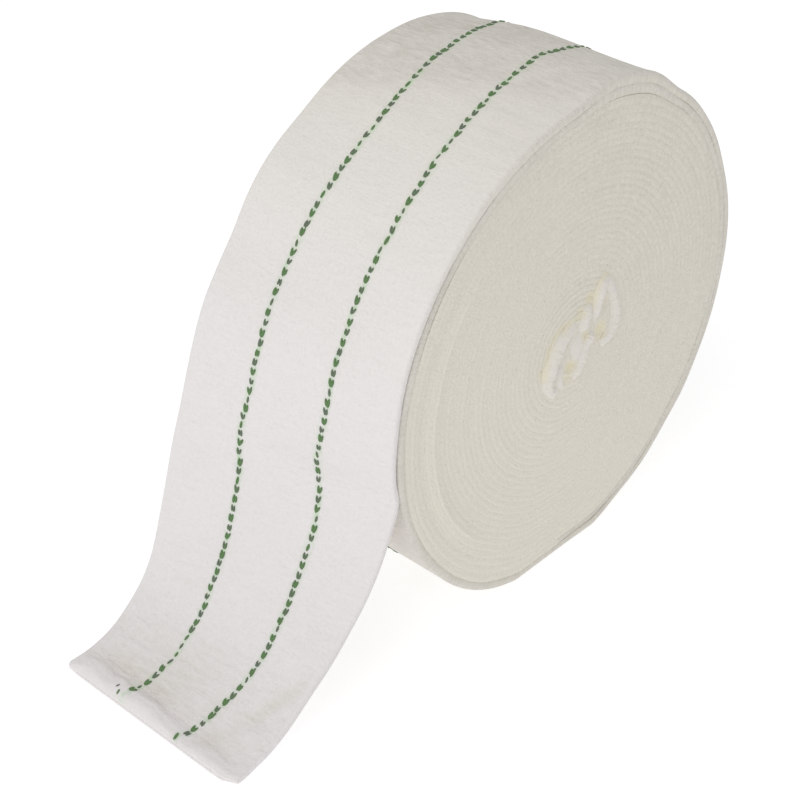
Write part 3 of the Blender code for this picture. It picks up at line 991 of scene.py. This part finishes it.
    def middle(self, across: np.ndarray, shift: float = 0.0) -> np.ndarray:
        """Points halfway between the plies, sections by places across by 3.

        Args:
            across: places across, from -1 at the far edge to 1 at the near one.
            shift: metres to move along the tube, for slopes.

        Returns:
            The points.
        """
        across = across[None, :]
        degrees = self.degrees[:, None] + np.degrees(shift / self.winding.radius)
        outer = self.winding.side(np.minimum(degrees, self.winding.split), across)
        thick = self.winding.thickness(np.minimum(degrees, self.winding.split), across)
        x = self.half * across + self.edge_waver(across)
        first = len(self.degrees)
        on_roll = self.winding.place(x[:first], outer - thick / 2, degrees)
        share = self.shares[:, None] + shift / self.loose_length
        place = self.shorten(share, across)
        side = ((across + 1) / 2)[..., None]
        ends = self.far.at(place) * (1 - side) + self.near.at(place) * side
        rises, falls, gone = self.bow_shares
        bow = self.bow * smooth(place / rises) * smooth((gone - place) / (gone - falls)) * (1 - across**2)
        y, z = ends[..., 0] - bow, ends[..., 1]
        loose = np.stack(np.broadcast_arrays(x[first:], y, z), -1)
        return np.concatenate([on_roll, loose])

    def edge_waver(self, across: np.ndarray) -> np.ndarray:
        """How far each folded edge strays outward.

        Args:
            across: places across, from -1 at the far edge to 1 at the near one.

        Returns:
            Metres toward +X, at each section and place.
        """
        back = self.back[:, None]
        sides = [soft_noise(back, 0 * back, (self.waver_step, 1.0), self.seed + k) for k in self.waver_seeds]
        return self.waver * (sides[0] * np.maximum(across, 0) ** 2 - sides[1] * np.minimum(across, 0) ** 2)

    def shorten(self, share: np.ndarray, across: np.ndarray) -> np.ndarray:
        """Shares pulled back near the corners of the cut end, which are round."""
        pull = self.inset(across * self.half) * self.near_mouth(share)
        return np.clip(share - pull / self.loose_length, 0.0, 1.0)

    def inset(self, x: np.ndarray) -> np.ndarray:
        """How far the cut end lies back where its corners are round.

        Args:
            x: places across, in metres.

        Returns:
            The distances, in metres.
        """
        width, depth = (np.where(x < 0, *sizes) for sizes in (self.corner_widths, self.corner_depths))
        over = np.clip((np.abs(x) - self.winding.tube.half) / width + 1, 0.0, 1.0)
        return depth * (1 - np.sqrt(1 - over**2))

    def near_mouth(self, share: np.ndarray) -> np.ndarray:
        """How much of the round corners a section follows, from 0 to 1 at the mouth."""
        zone = self.mouth_zone / self.loose_length
        return smooth((share - 1 + zone) / zone)

    def directions(self, across: np.ndarray) -> tuple[np.ndarray, np.ndarray]:
        """Directions out of the cloth and toward its near edge.

        Args:
            across: places across, from -1 at the far edge to 1 at the near one.

        Returns:
            Both directions, at each section and place.
        """
        ahead = self.middle(across, 0.0) - self.middle(across, -self.slope_run)
        first = len(self.degrees)
        ahead[first] = ahead[first + 1]
        side = self.middle(across + self.slope_nudge) - self.middle(across - self.slope_nudge)
        out = np.cross(ahead, side)
        return unit(out), unit(side)

    def half_thickness(self, across: np.ndarray) -> np.ndarray:
        """Half of the flat tube's thickness.

        Args:
            across: places across, from -1 at the far edge to 1 at the near one.

        Returns:
            The half thickness, at each section and place.
        """
        wound = self.winding.thickness(self.degrees[:, None], across[None, :]) / 2
        loose = np.full((len(self.shares), len(across)), self.winding.tube.thickness / 2)
        return np.concatenate([wound, loose])

    def lift(self, across: np.ndarray) -> np.ndarray:
        """How far the upper ply rises near the mouth, where its cut edge is thin and rolls over.

        Args:
            across: places across, from -1 at the far edge to 1 at the near one.

        Returns:
            The rise, at each section and place.
        """
        height, crest = (eased(self.lip_heights, column, across)[None, :] * MM for column in (1, 2))
        from_crest = self.back[:, None] - crest
        reach = np.where(from_crest < 0, self.lip_front_reach, self.lip_rear_reach)
        thinned = self.cut_thinning * smooth(1 - self.back[:, None] / self.cut_reach)
        return height / (1 + (from_crest / reach) ** 4) - thinned

    def relief(self, across: np.ndarray) -> np.ndarray:
        """Ripples, puckers, creases and pleats of the upper ply.

        Args:
            across: places across, from -1 at the far edge to 1 at the near one.

        Returns:
            The relief, at each section and place.
        """
        back, x = np.broadcast_arrays(self.back[:, None], self.half * across[None, :])
        gain = eased(self.ripple_gain, 1, back / MM)
        total = self.ripple_height * gain * soft_noise(back, x, self.ripple_steps, self.seed)
        total = total + self.pucker_height * gain * soft_noise(back, x, self.pucker_steps, self.seed + 1)
        for at, centre, half_length, half_width, slant, height in self.creases:
            along = back / MM - at - slant * (x / MM - centre)
            sideways = (x / MM - centre) / half_length
            total = total + height * MM * np.exp(-((along / half_width) ** 2) - sideways**2)
        for at, half_length, centre, half_width, pitch, slant, height in self.pleats:
            along = back / MM - at - slant * (x / MM - centre)
            reach = (along / half_length) ** 2 + ((x / MM - centre) / half_width) ** 2
            total = total + height * MM * np.exp(-reach) * np.cos(2 * pi * along / pitch)
        fade = smooth((1 - np.abs(across)) / self.edge_fade)[None, :]
        return total * fade

    def fold(self, across: float, outside: bool, gap: np.ndarray) -> np.ndarray:
        """One folded edge of a skin, going round as the loop does.

        Args:
            across: 1 for the near edge, -1 for the far one.
            outside: the outer skin, or else the inner one.
            gap: half of the air between the plies, at each section.

        Returns:
            The points, sections by places round the fold by 3.
        """
        past = (self.back - self.loose_length) / self.unfolds
        on_roll, covered = smooth(past)[:, None], smooth(past - self.turn_length / self.unfolds)[:, None]
        at_mouth = self.near_mouth(np.concatenate([0 * self.degrees, self.shares]))[:, None, None]
        place, order = np.array([across]), slice(None, None, int(across))
        middle = self.middle(place)
        out, side = self.directions(place)
        half = self.half_thickness(place) if outside else gap
        wide = self.fold_radius if outside else self.winding.tube.ply_gap / 2
        turn, levels, depths = (np.array(row)[order] for row in (self.fold_turns, self.flat_levels, self.flat_depths))
        turn = np.radians(turn)[None, :]
        pressed = np.where(turn > 0, covered, on_roll)
        level = np.sin(turn) + (levels - np.sin(turn)) * pressed
        depth = np.cos(turn) ** self.fold_fullness
        depth = (depth + (depths - depth) * pressed)[..., None]
        pull = self.corner_folds[across > 0] * wide / self.fold_radius
        shift = side * across * wide * depth - np.cross(side, out) * pull * depth * at_mouth
        return middle + shift + out * (half * level)[..., None]

    def round_tube(self) -> np.ndarray:
        """The cloth's coordinate round the tube.

        Returns:
            The coordinate at each place of a loop, and at the first place again.
        """
        bend, turns = pi * self.fold_radius, np.array(self.fold_turns)
        return np.concatenate([
            self.half * self.across,
            self.half + bend * (90 - turns) / 180,
            2 * self.half + bend - self.half * self.low_across,
            3 * self.half + bend + bend * (90 + turns[::-1]) / 180,
            [3 * self.half + 2 * bend],
        ])

    def tints(self, outside: bool) -> dict:
        """Named values of the cloth's colour at every place of a skin's loops, painted shade among them.

        Args:
            outside: the outer skin, or else the inner one.

        Returns:
            The values by their names.
        """
        near = np.array(self.fold_creams)
        folded = np.concatenate([0 * self.across, near, 1 + 0 * self.low_across, near[::-1]])[None, :]
        back = self.back[:, None]
        warmer = smooth((back - self.warms_from) / self.warms_over)
        cream = (folded + self.wound_cream_and_shade * (1 - folded)) * warmer
        halo, grey = np.zeros(cream.shape), np.zeros(cream.shape)
        if outside:
            x = self.half * self.across[None, :]
            upper = len(self.across)
            # Painted shade: in the troughs of the relief, in zones along the cloth and on the near fold of the wound
            # part; the troughs also get the creamy tint, as yellowed shade.
            sunk = smooth(-self.relief(self.across) / self.trough_depth)
            slanted = back - warmer * self.painted_shade_slant * x
            halo[:, :upper] = self.markers.halo(back, x)
            grey[:, :upper] = eased(self.painted_shade_zones, 1, slanted / MM) + self.trough_shade * sunk * (1 - warmer)
            grey[:, upper : upper + len(near)] = self.fold_painted_shade * smooth((back - self.fold_shade_from) / self.warms_over)
            cream[:, :upper] = np.maximum(cream[:, :upper], self.trough_yellowed_shade * sunk)
        return {"cream": cream, "halo": halo, "grey": grey}

    def skin(self, outside: bool, first: int) -> tuple[np.ndarray, np.ndarray, dict]:
        """Closed loops of one skin of the tube.

        Args:
            outside: the outer skin, or else the inner one.
            first: the first section to use.

        Returns:
            The points, the cloth's coordinates with one more place round, and the named values.
        """
        tube = self.winding.tube
        gap = tube.ply_gap + (self.mouth_gap - tube.ply_gap) * smooth(1 - self.back / self.mouth_closes)
        gap = gap[:, None] / 2
        plies = []
        for across, facing in ((self.across, 1), (self.low_across, -1)):
            middle, rise = self.middle(across), facing * (self.half_thickness(across) if outside else gap)
            if outside and facing > 0:
                rise = rise + (self.lift(across) + self.relief(across))
            out = self.directions(across)[0]
            plies.append(middle + out * np.broadcast_to(rise, middle.shape[:2])[..., None])
        near, far = (self.fold(across, outside, gap) for across in (1.0, -1.0))
        points = np.concatenate([plies[0], near, plies[1], far], axis=1)
        points[..., 2] = np.maximum(points[..., 2], 0.0 if outside else tube.ply)
        uv = np.stack(np.broadcast_arrays(self.back[:, None], self.round_tube()[None, :]), -1)
        return points[first:], uv[first:], {key: value[first:] for key, value in self.tints(outside).items()}

    def build(self, material: bpy.types.Material) -> bpy.types.Object:
        """Makes the outer turn and the loose end as one hollow tube, open at its mouth.

        Args:
            material: the cloth's finish.

        Returns:
            The new object.
        """
        mesh = ClothMesh("outer_cloth")
        upper, fold = len(self.across), len(self.fold_turns)
        points, uv, values = self.skin(True, 0)
        self.surface = points[:, :upper]
        outside = mesh.add_loops(points, uv, **values)
        mesh.close(outside[0], uv[0], upper, fold, True)
        first = len(self.degrees) + int(self.pocket_start * len(self.shares))
        points, uv_in, values = self.skin(False, first)
        inside = mesh.add_loops(points, uv_in, inward=True, **values)
        mesh.close(inside[0], uv_in[0], upper, fold, False)
        mesh.add_strip(outside[-1], inside[-1], uv[-1], uv_in[-1])
        piece = mesh.build(material, self.sharp)
        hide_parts("loose_end", "roll")
        return piece

    def at(self, back: np.ndarray, x: np.ndarray) -> tuple[np.ndarray, ...]:
        """Places on the upper ply's outer side.

        Args:
            back: distances from the cut end, in metres.
            x: places across, in metres.

        Returns:
            Points, and unit directions toward the mouth, toward the near edge and out.
        """
        order = -self.back
        row = np.interp(-back, order, np.arange(len(order)))
        column = np.interp(x, self.half * self.across, np.arange(self.upper_count))

        def read(r: np.ndarray, c: np.ndarray) -> np.ndarray:
            """Reads the surface between its rows and columns.

            Args:
                r: rows, with fractions.
                c: columns, with fractions.

            Returns:
                The points.
            """
            r, c = (np.clip(p, 0, n - self.read_margin) for p, n in ((r, len(order)), (c, self.upper_count)))
            i, j = r.astype(int), c.astype(int)
            p, q = (r - i)[:, None], (c - j)[:, None]
            low = self.surface[i, j] * (1 - q) + self.surface[i, j + 1] * q
            high = self.surface[i + 1, j] * (1 - q) + self.surface[i + 1, j + 1] * q
            return low * (1 - p) + high * p

        ahead = unit(read(row + self.read_step, column) - read(row - self.read_step, column))
        out = unit(np.cross(ahead, read(row, column + self.read_step) - read(row, column - self.read_step)))
        return read(row, column), ahead, np.cross(out, ahead), out


class Wrap:
    """A shader socket's value, which Python's operators turn into Math nodes."""

    def __init__(self, graph: "Graph", socket: object) -> None:
        """Keeps the graph and the socket, or a plain number."""
        self.graph = graph
        self.socket = socket

    def math(self, operation: str, *others: object) -> "Wrap":
        """Adds a Math node that works on this value and the others."""
        return self.graph.math(operation, self, *others)

    def reflected(self, operation: str, other: object) -> "Wrap":
        """Adds a Math node with this value on the right."""
        return self.graph.math(operation, other, self)

    __add__ = __radd__ = partialmethod(math, "ADD")
    __mul__ = __rmul__ = partialmethod(math, "MULTIPLY")
    __sub__, __rsub__ = partialmethod(math, "SUBTRACT"), partialmethod(reflected, "SUBTRACT")
    __truediv__, __rtruediv__ = partialmethod(math, "DIVIDE"), partialmethod(reflected, "DIVIDE")
    __pow__, __rpow__ = partialmethod(math, "POWER"), partialmethod(reflected, "POWER")


class Graph:
    """Adds shader nodes to a new material; its two numbers are how yarn shines and how dull its fuzz is."""

    gloss: float = 0.2
    fuzz: float = 0.6

    def __init__(self, name: str) -> None:
        """Makes the material and keeps its shader."""
        self.material = bpy.data.materials.new(name)
        self.material.use_nodes = True
        self.nodes = self.material.node_tree.nodes
        self.links = self.material.node_tree.links
        self.shader = self.nodes["Principled BSDF"]

    def put(self, target: bpy.types.NodeSocket, value: object) -> None:
        """Links a value to a socket, or sets the socket.

        Args:
            target: the socket.
            value: a wrapped value, another node's output, or a number or colour.
        """
        if isinstance(value, Wrap):
            value = value.socket
        if isinstance(value, bpy.types.NodeSocket):
            self.links.new(value, target)
        else:
            target.default_value = value

    def node(self, kind: str, settings: dict, inputs: dict) -> bpy.types.Node:
        """Adds one node.

        Args:
            kind: the node's type.
            settings: properties, set first.
            inputs: values or links, by the sockets' names or numbers.

        Returns:
            The node.
        """
        made = self.nodes.new(kind)
        for key, value in settings.items():
            setattr(made, key, value)
        for key, value in inputs.items():
            self.put(made.inputs[key], value)
        return made

    def feed(self, inputs: dict) -> None:
        """Sets or links the shader's inputs, by their names."""
        for key, value in inputs.items():
            self.put(self.shader.inputs[key], value)

    def math(self, operation: str, *values: object) -> Wrap:
        """Adds a Math node."""
        made = self.node("ShaderNodeMath", {"operation": operation}, dict(enumerate(values)))
        return Wrap(self, made.outputs[0])

    def noise(self, vector: object, scale: float, detail: float, roughness: float = 0.5) -> Wrap:
        """Adds a Noise Texture and gives its value."""
        inputs = {"Vector": vector, "Scale": scale, "Detail": detail, "Roughness": roughness}
        return Wrap(self, self.node("ShaderNodeTexNoise", {}, inputs).outputs["Fac"])

    def value_of(self, attribute: str) -> Wrap:
        """Reads one of the mesh's own values."""
        made = self.node("ShaderNodeAttribute", {"attribute_name": attribute}, {})
        return Wrap(self, made.outputs["Fac"])

    def mix(self, share: object, first: object, second: object) -> bpy.types.NodeSocket:
        """Mixes two colours."""
        made = self.node("ShaderNodeMix", {"data_type": "RGBA"}, {0: share, 6: first, 7: second})
        return made.outputs[2]

    def finish(self, colour: object, height: Wrap, relief: float, roughness: float, sheen: float) -> bpy.types.Material:
        """Feeds the shader.

        Args:
            colour: the base colour.
            height: the relief, from 0 to 1.
            relief: how deep the relief is, in metres.
            roughness: how dull the yarn is.
            sheen: how much its fuzz shines at a glance.

        Returns:
            The material.
        """
        bump = self.node("ShaderNodeBump", {}, {"Strength": 1.0, "Distance": relief, "Height": height})
        self.feed({
            "Base Color": colour,
            "Normal": bump.outputs[0],
            "Roughness": roughness,
            "Specular IOR Level": self.gloss,
            "Sheen Weight": sheen,
            "Sheen Roughness": self.fuzz,
        })
        return self.material


@dataclass(frozen=True)
class KnitFinish:
    """Undyed cotton knit with elastic thread laid in."""

    tube: Tube
    bright: tuple = (0.8, 0.768, 0.768, 1.0)
    # The next three colours: a creamy tint, the cotton's own and also standing in for the yellowed look of shade; the
    # colour of painted shade, also used for the cloth's random mottling; the yellowed colour of painted shade in the
    # hub's deep folds.
    cream: tuple = (0.785, 0.75, 0.66, 1.0)
    shade_and_mottle: tuple = (0.62, 0.59, 0.53, 1.0)
    hub_shade_tint: tuple = (0.8, 0.73, 0.52, 1.0)
    green: tuple = (0.42, 0.66, 0.36, 1.0)
    noises: tuple = (
        # name, scale, detail, roughness
        ("slow", 150.0, 2.0, 0.5),
        ("quick", 480.0, 2.0, 0.5),
        ("drift", 22.0, 1.0, 0.5),
        ("bead", 860.0, 1.0, 0.5),
        ("fibre", 2300.0, 3.0, 0.6),
        ("worn", 70.0, 2.0, 0.5),
        ("patches", 60.0, 2.0, 0.5),
        ("mottle", 48.0, 3.0, 0.6),
    )
    streak_draw: tuple = (1.0, 0.3, 1.0)
    streak_scale: float = 620.0
    # how far the rows of stitches stray, over the whole cloth and from stitch to stitch
    drift: float = 9.0 * MM
    stray: float = 1.6 * MM
    chevron: float = 0.5
    stitch_shape: float = 3.0
    # shares of the relief
    stitch_share: float = 0.26
    fold_share: float = 0.35
    streak_share: float = 1.5
    zone_streaks: float = 2.6
    bead_share: float = 1.7
    flat_beads: float = 0.5
    fibre_share: float = 0.5
    relief: float = 0.22 * MM
    # shares of the tint; a noise's own middle counts as no tint. Where stitches, beads and streaks sink, the darkening
    # is painted shade, and the grey value is painted shade in patches; the mottle is the cloth's own uneven tone
    middle: float = 0.55
    streak_tint: float = 0.25
    zone_tint: float = 0.7
    bead_tint: float = 0.4
    stitch_tint: float = 0.03
    mottle_tint: float = 0.2
    painted_shade_share: float = 0.42
    painted_shade_patches: tuple = (1.4, 0.3)
    hub_shade_share: float = 0.85
    halo_patches: tuple = (2.2, 0.42)
    roughness: float = 0.93
    sheen: float = 0.08

    def material(self) -> bpy.types.Material:
        """The cloth: rows of stitches, fibre, a slight unevenness of colour and painted shade.

        Returns:
            The material.
        """
        graph = Graph("knit_cotton")
        uv = graph.node("ShaderNodeUVMap", {"uv_map": UV_NAME}, {}).outputs[0]
        drawn = graph.node("ShaderNodeVectorMath", {"operation": "MULTIPLY"}, {0: uv, 1: self.streak_draw}).outputs[0]
        noise = {name: graph.noise(uv, *settings) for name, *settings in self.noises}
        streak, bead = graph.noise(drawn, self.streak_scale, 1.0), noise["bead"]
        slow, quick, drift = (noise[name] - 0.5 for name in ("slow", "quick", "drift"))
        # The creamy tint, partly painted shade, also sets how the relief behaves; the grey value is painted shade,
        # broken into patches.
        folded = graph.value_of("cream")
        contrast, least = self.painted_shade_patches
        grey = graph.value_of("grey") * (noise["patches"] * contrast + least)
        stitch = self.stitch(graph, uv, slow, quick, drift)

        height = stitch * (noise["worn"] + folded * self.fold_share) * self.stitch_share
        height = height + streak * (1 - folded) * (grey * self.zone_streaks + self.streak_share)
        height = height + bead * (folded * (1 - self.flat_beads) + self.flat_beads) * self.bead_share
        height = height + noise["fibre"] * self.fibre_share

        # Painted shade where streaks, beads and stitches sink and in the shaded zones, plus the cloth's own random
        # mottling.
        shade = (self.middle - streak) * (grey * self.zone_tint + self.streak_tint)
        shade = shade + (self.middle - bead) * self.bead_tint + (1 - stitch) * self.stitch_tint
        shade = shade + (noise["mottle"] - 0.5) * self.mottle_tint + grey * self.painted_shade_share
        contrast, least = self.halo_patches
        # Creamy tint, partly painted shade; then painted shade and mottling; then yellowed painted shade in the hub's
        # deep folds; then green fluff by the marker lines.
        colour = graph.mix(folded, self.bright, self.cream)
        colour = graph.mix(shade, colour, self.shade_and_mottle)
        colour = graph.mix(graph.value_of("hollow") * self.hub_shade_share, colour, self.hub_shade_tint)
        colour = graph.mix(graph.value_of("halo") * (quick * contrast + least), colour, self.green)
        return graph.finish(colour, height, self.relief, self.roughness, self.sheen)

    def stitch(self, graph: Graph, uv: object, slow: Wrap, quick: Wrap, drift: Wrap) -> Wrap:
        """Rows of chevron stitches.

        Args:
            graph: the material's nodes.
            uv: the cloth's coordinates.
            slow: noise that bends the rows a little.
            quick: noise that moves single stitches.
            drift: noise that bends the rows over the whole cloth.

        Returns:
            The stitches' height, from 0 to 1.
        """
        parts = graph.node("ShaderNodeSeparateXYZ", {}, {0: uv})
        along, round_tube = Wrap(graph, parts.outputs[0]), Wrap(graph, parts.outputs[1])
        course = (along + drift * self.drift + slow * self.stray + quick * (self.stray / 2)) / self.tube.course
        wale = (round_tube + slow * (self.stray / 2) + quick * (self.stray / 3)) / self.tube.wale
        from_middle = (wale.math("FRACT") - 0.5).math("ABSOLUTE")
        row = ((course + from_middle * self.chevron) * (2 * pi)).math("COSINE") * 0.5 + 0.5
        return row * (1 - (from_middle * 2) ** self.stitch_shape)


@dataclass(frozen=True)
class MarkerFinish:
    """Green marker yarn, some of it faded to grey green."""

    vivid: tuple = (0.1, 0.195, 0.07, 1.0)
    faded: tuple = (0.125, 0.145, 0.115, 1.0)
    pale: tuple = (0.25, 0.36, 0.2, 1.0)
    strand_scale: float = 3200.0
    pale_above: float = 0.4
    pale_share: float = 0.8
    relief: float = 0.05 * MM
    roughness: float = 0.8
    sheen: float = 0.1

    def material(self) -> bpy.types.Material:
        """The marker yarn, with its twist and a change of tint from stitch to stitch.

        Returns:
            The material.
        """
        graph = Graph("marker_yarn")
        place = graph.node("ShaderNodeTexCoord", {}, {}).outputs["Object"]
        strands = graph.noise(place, self.strand_scale, 2.0)
        colour = graph.mix(graph.value_of("faded"), self.vivid, self.faded)
        colour = graph.mix((strands - self.pale_above) * self.pale_share, colour, self.pale)
        return graph.finish(colour, strands, self.relief, self.roughness, self.sheen)


@dataclass
class MarkerLines:
    """Two rows of chevron stitches in green yarn, knitted into the upper ply."""

    cloth: OuterCloth
    pitch: float = 3.05 * MM
    lobe_length: float = 2.6 * MM
    lobe_width: float = 1.0 * MM
    lobe_height: float = 0.46 * MM
    lobe_apart: float = 0.78 * MM
    lobe_taper: float = 0.14
    slant: float = 9.0
    mark_size: float = 0.62
    sink: float = 0.1 * MM
    jitter: float = 0.14 * MM
    single_share: float = 0.12
    least_fading: float = 0.5
    fading_jitter: float = 0.1
    faded_shrink: float = 0.2
    # mean and spread
    sizes: tuple = (1.06, 0.09)
    stretches: tuple = (0.96, 0.08)
    turn_jitter: float = 7.0
    segments: int = 8
    rings: int = 6
    seed: int = 41
    cut_marks: tuple = (
        # distance from the cut end mm, x mm: two drops where the far line was cut, on the lip
        (1.2, -13.9), (2.6, -15.7),
    )

    def lobe(self) -> tuple[np.ndarray, list]:
        """One drop-shaped lobe of yarn, modelled once about the origin, its length along Y.

        Returns:
            Its points and its faces.
        """
        bpy.ops.object.select_all(action="DESELECT")
        bpy.ops.mesh.primitive_uv_sphere_add(segments=self.segments, ring_count=self.rings, radius=0.5)
        sphere = bpy.context.object
        bpy.ops.object.mode_set(mode="EDIT")
        bpy.ops.mesh.select_all(action="SELECT")
        bpy.ops.transform.resize(value=(self.lobe_width, self.lobe_length, self.lobe_height))
        bpy.ops.object.mode_set(mode="OBJECT")
        points = np.array([v.co for v in sphere.data.vertices])
        faces = sorted(tuple(p.vertices) for p in sphere.data.polygons)
        points[:, 0] *= 1 - self.lobe_taper * smooth(points[:, 1] / self.lobe_length + 0.5)
        bpy.data.objects.remove(sphere, do_unlink=True)
        return points, faces

    def build(self, material: bpy.types.Material) -> bpy.types.Object:
        """Makes all the stitches as one piece.

        Args:
            material: the marker yarn's finish.

        Returns:
            The new object.
        """
        noise = np.random.default_rng(self.seed)
        lobe, lobe_faces = self.lobe()
        points, faces, faded = [], [], []
        count = 0
        for rows in (self.cloth.markers.far, self.cloth.markers.near, self.cut_marks):
            marks = rows is self.cut_marks
            first, last = rows[0][0] * MM, rows[-1][0] * MM
            back = np.array([row[0] for row in rows]) * MM if marks else np.arange(first, last, self.pitch)
            x = self.cloth.markers.place(rows, back) + noise.normal(0, self.jitter, len(back))
            centre, ahead, side, out = self.cloth.at(back + noise.normal(0, self.jitter, len(back)), x)
            for k in range(len(back)):
                dull = k % 2 * noise.uniform(self.least_fading, 1.0)
                single = marks or noise.random() < self.single_share * (1 + dull)
                for hand in ((0.0,) if single else (-1.0, 1.0)):
                    size = noise.normal(*self.sizes) * (1 - self.faded_shrink * dull)
                    size = size * (self.mark_size if marks else 1.0)
                    turn = radians(hand * self.slant + noise.normal(0, self.turn_jitter))
                    local = lobe * [size, size * noise.normal(*self.stretches), size]
                    spun = np.stack([
                        local[:, 0] * cos(turn) + local[:, 1] * sin(turn) + hand * self.lobe_apart / 2,
                        local[:, 1] * cos(turn) - local[:, 0] * sin(turn),
                        local[:, 2] - self.sink + self.lobe_height / 2,
                    ], -1)
                    world = centre[k] + spun @ np.stack([side[k], -ahead[k], out[k]])
                    world[:, 2] = np.maximum(world[:, 2], 0.0)
                    points.append(world)
                    faces += [tuple(i + count for i in f) for f in lobe_faces]
                    count += len(world)
                    faded.append(np.full(len(world), np.clip(dull + noise.normal(0.0, self.fading_jitter), 0, 1)))
        LOG.info("marker_stitches: %d lobes", len(points))
        return make_piece("marker_stitches", np.vstack(points), faces, {"faded": np.concatenate(faded)}, material)


class Side(Enum):
    """Where a studio light stands, as its direction from the object."""

    KEY = (0.1, -0.72, 0.8)
    BACK = (-0.5, 0.75, 0.45)


@dataclass
class Studio:
    """A plain pale floor, soft light and the camera at the photograph's angle."""

    azimuth: float = 41.055
    elevation: float = 34.181
    roll: float = 1.6126
    focal_pixels: float = 1800.0
    image_pixels: float = 800.0
    sensor: float = 36.0
    target: tuple = (1.265 * MM, -40.967 * MM, 64.468 * MM)
    distance: float = 564.215 * MM
    seen_from: float = 0.01
    seen_to: float = 20.0
    floor_size: float = 6.0
    floor_drop: float = 0.3 * MM
    floor_colour: tuple = (0.5, 0.5, 0.5, 1.0)
    floor_glow: float = 0.663
    white: tuple = (1.0, 1.0, 1.0, 1.0)
    air: float = 0.59
    key_strength: float = 1.08
    back_strength: float = 0.08
    light_distance: float = 2.0
    light_size: float = 1.6

    def camera(self) -> None:
        """Sets the camera."""
        azimuth, elevation, roll = (radians(a) for a in (self.azimuth, self.elevation, self.roll))
        back = Vector((sin(azimuth) * cos(elevation), -cos(azimuth) * cos(elevation), sin(elevation)))
        level = Vector((cos(azimuth), sin(azimuth), 0.0))
        up = back.cross(level)
        right = level * cos(roll) + up * sin(roll)
        top = up * cos(roll) - level * sin(roll)
        data = bpy.data.cameras.new("camera")
        data.sensor_width = self.sensor
        data.lens = self.focal_pixels / self.image_pixels * self.sensor
        data.clip_start, data.clip_end = self.seen_from, self.seen_to
        camera = add_object("camera", data)
        turn = Matrix((right, top, back)).transposed().to_4x4()
        camera.matrix_world = Matrix.Translation(Vector(self.target) + back * self.distance) @ turn
        bpy.context.scene.camera = camera

    def floor(self) -> None:
        """Lays the floor, a hair under the object."""
        bpy.ops.object.select_all(action="DESELECT")
        bpy.ops.mesh.primitive_plane_add(size=self.floor_size, location=(0.0, 0.0, -self.floor_drop))
        floor = bpy.context.object
        floor.name = "floor"
        graph = Graph("pale_floor")
        graph.feed({
            "Base Color": self.floor_colour,
            "Roughness": 1.0,
            "Specular IOR Level": 0.0,
            "Emission Color": self.white,
            "Emission Strength": self.floor_glow,
        })
        floor.data.materials.append(graph.material)

    def light(self, name: str, side: Side, strength: float) -> None:
        """Adds one soft light that looks at the object.

        Args:
            name: the light's name.
            side: where it stands.
            strength: the light that it gives on a surface turned to it, in watts a square metre.
        """
        data = bpy.data.lights.new(name, "AREA")
        data.shape = "DISK"
        data.size = self.light_size
        data.energy = strength * pi * self.light_distance**2
        light = add_object(name, data)
        direction = Vector(side.value).normalized()
        light.location = Vector(self.target) + direction * self.light_distance
        light.rotation_euler = direction.to_track_quat("Z", "Y").to_euler()

    def build(self) -> None:
        """Sets up the studio."""
        self.camera()
        self.floor()
        self.light("key_light", Side.KEY, self.key_strength)
        self.light("back_light", Side.BACK, self.back_strength)
        world = bpy.data.worlds.new("studio_air")
        bpy.context.scene.world = world
        world.use_nodes = True
        background = world.node_tree.nodes["Background"]
        background.inputs["Color"].default_value = self.white
        background.inputs["Strength"].default_value = self.air
        bpy.context.scene.view_settings.view_transform = "Standard"


def main() -> None:
    """Builds the studio and the bandage."""
    logging.basicConfig(level=logging.INFO, format="%(message)s")
    Studio().build()
    winding = Winding()
    cloth = KnitFinish(winding.tube).material()
    WoundTurns(winding).build(cloth, HubFold(winding))
    outer = OuterCloth(winding, MarkerRoutes())
    outer.build(cloth)
    MarkerLines(outer).build(MarkerFinish().material())


if __name__ == "__main__":
    main()
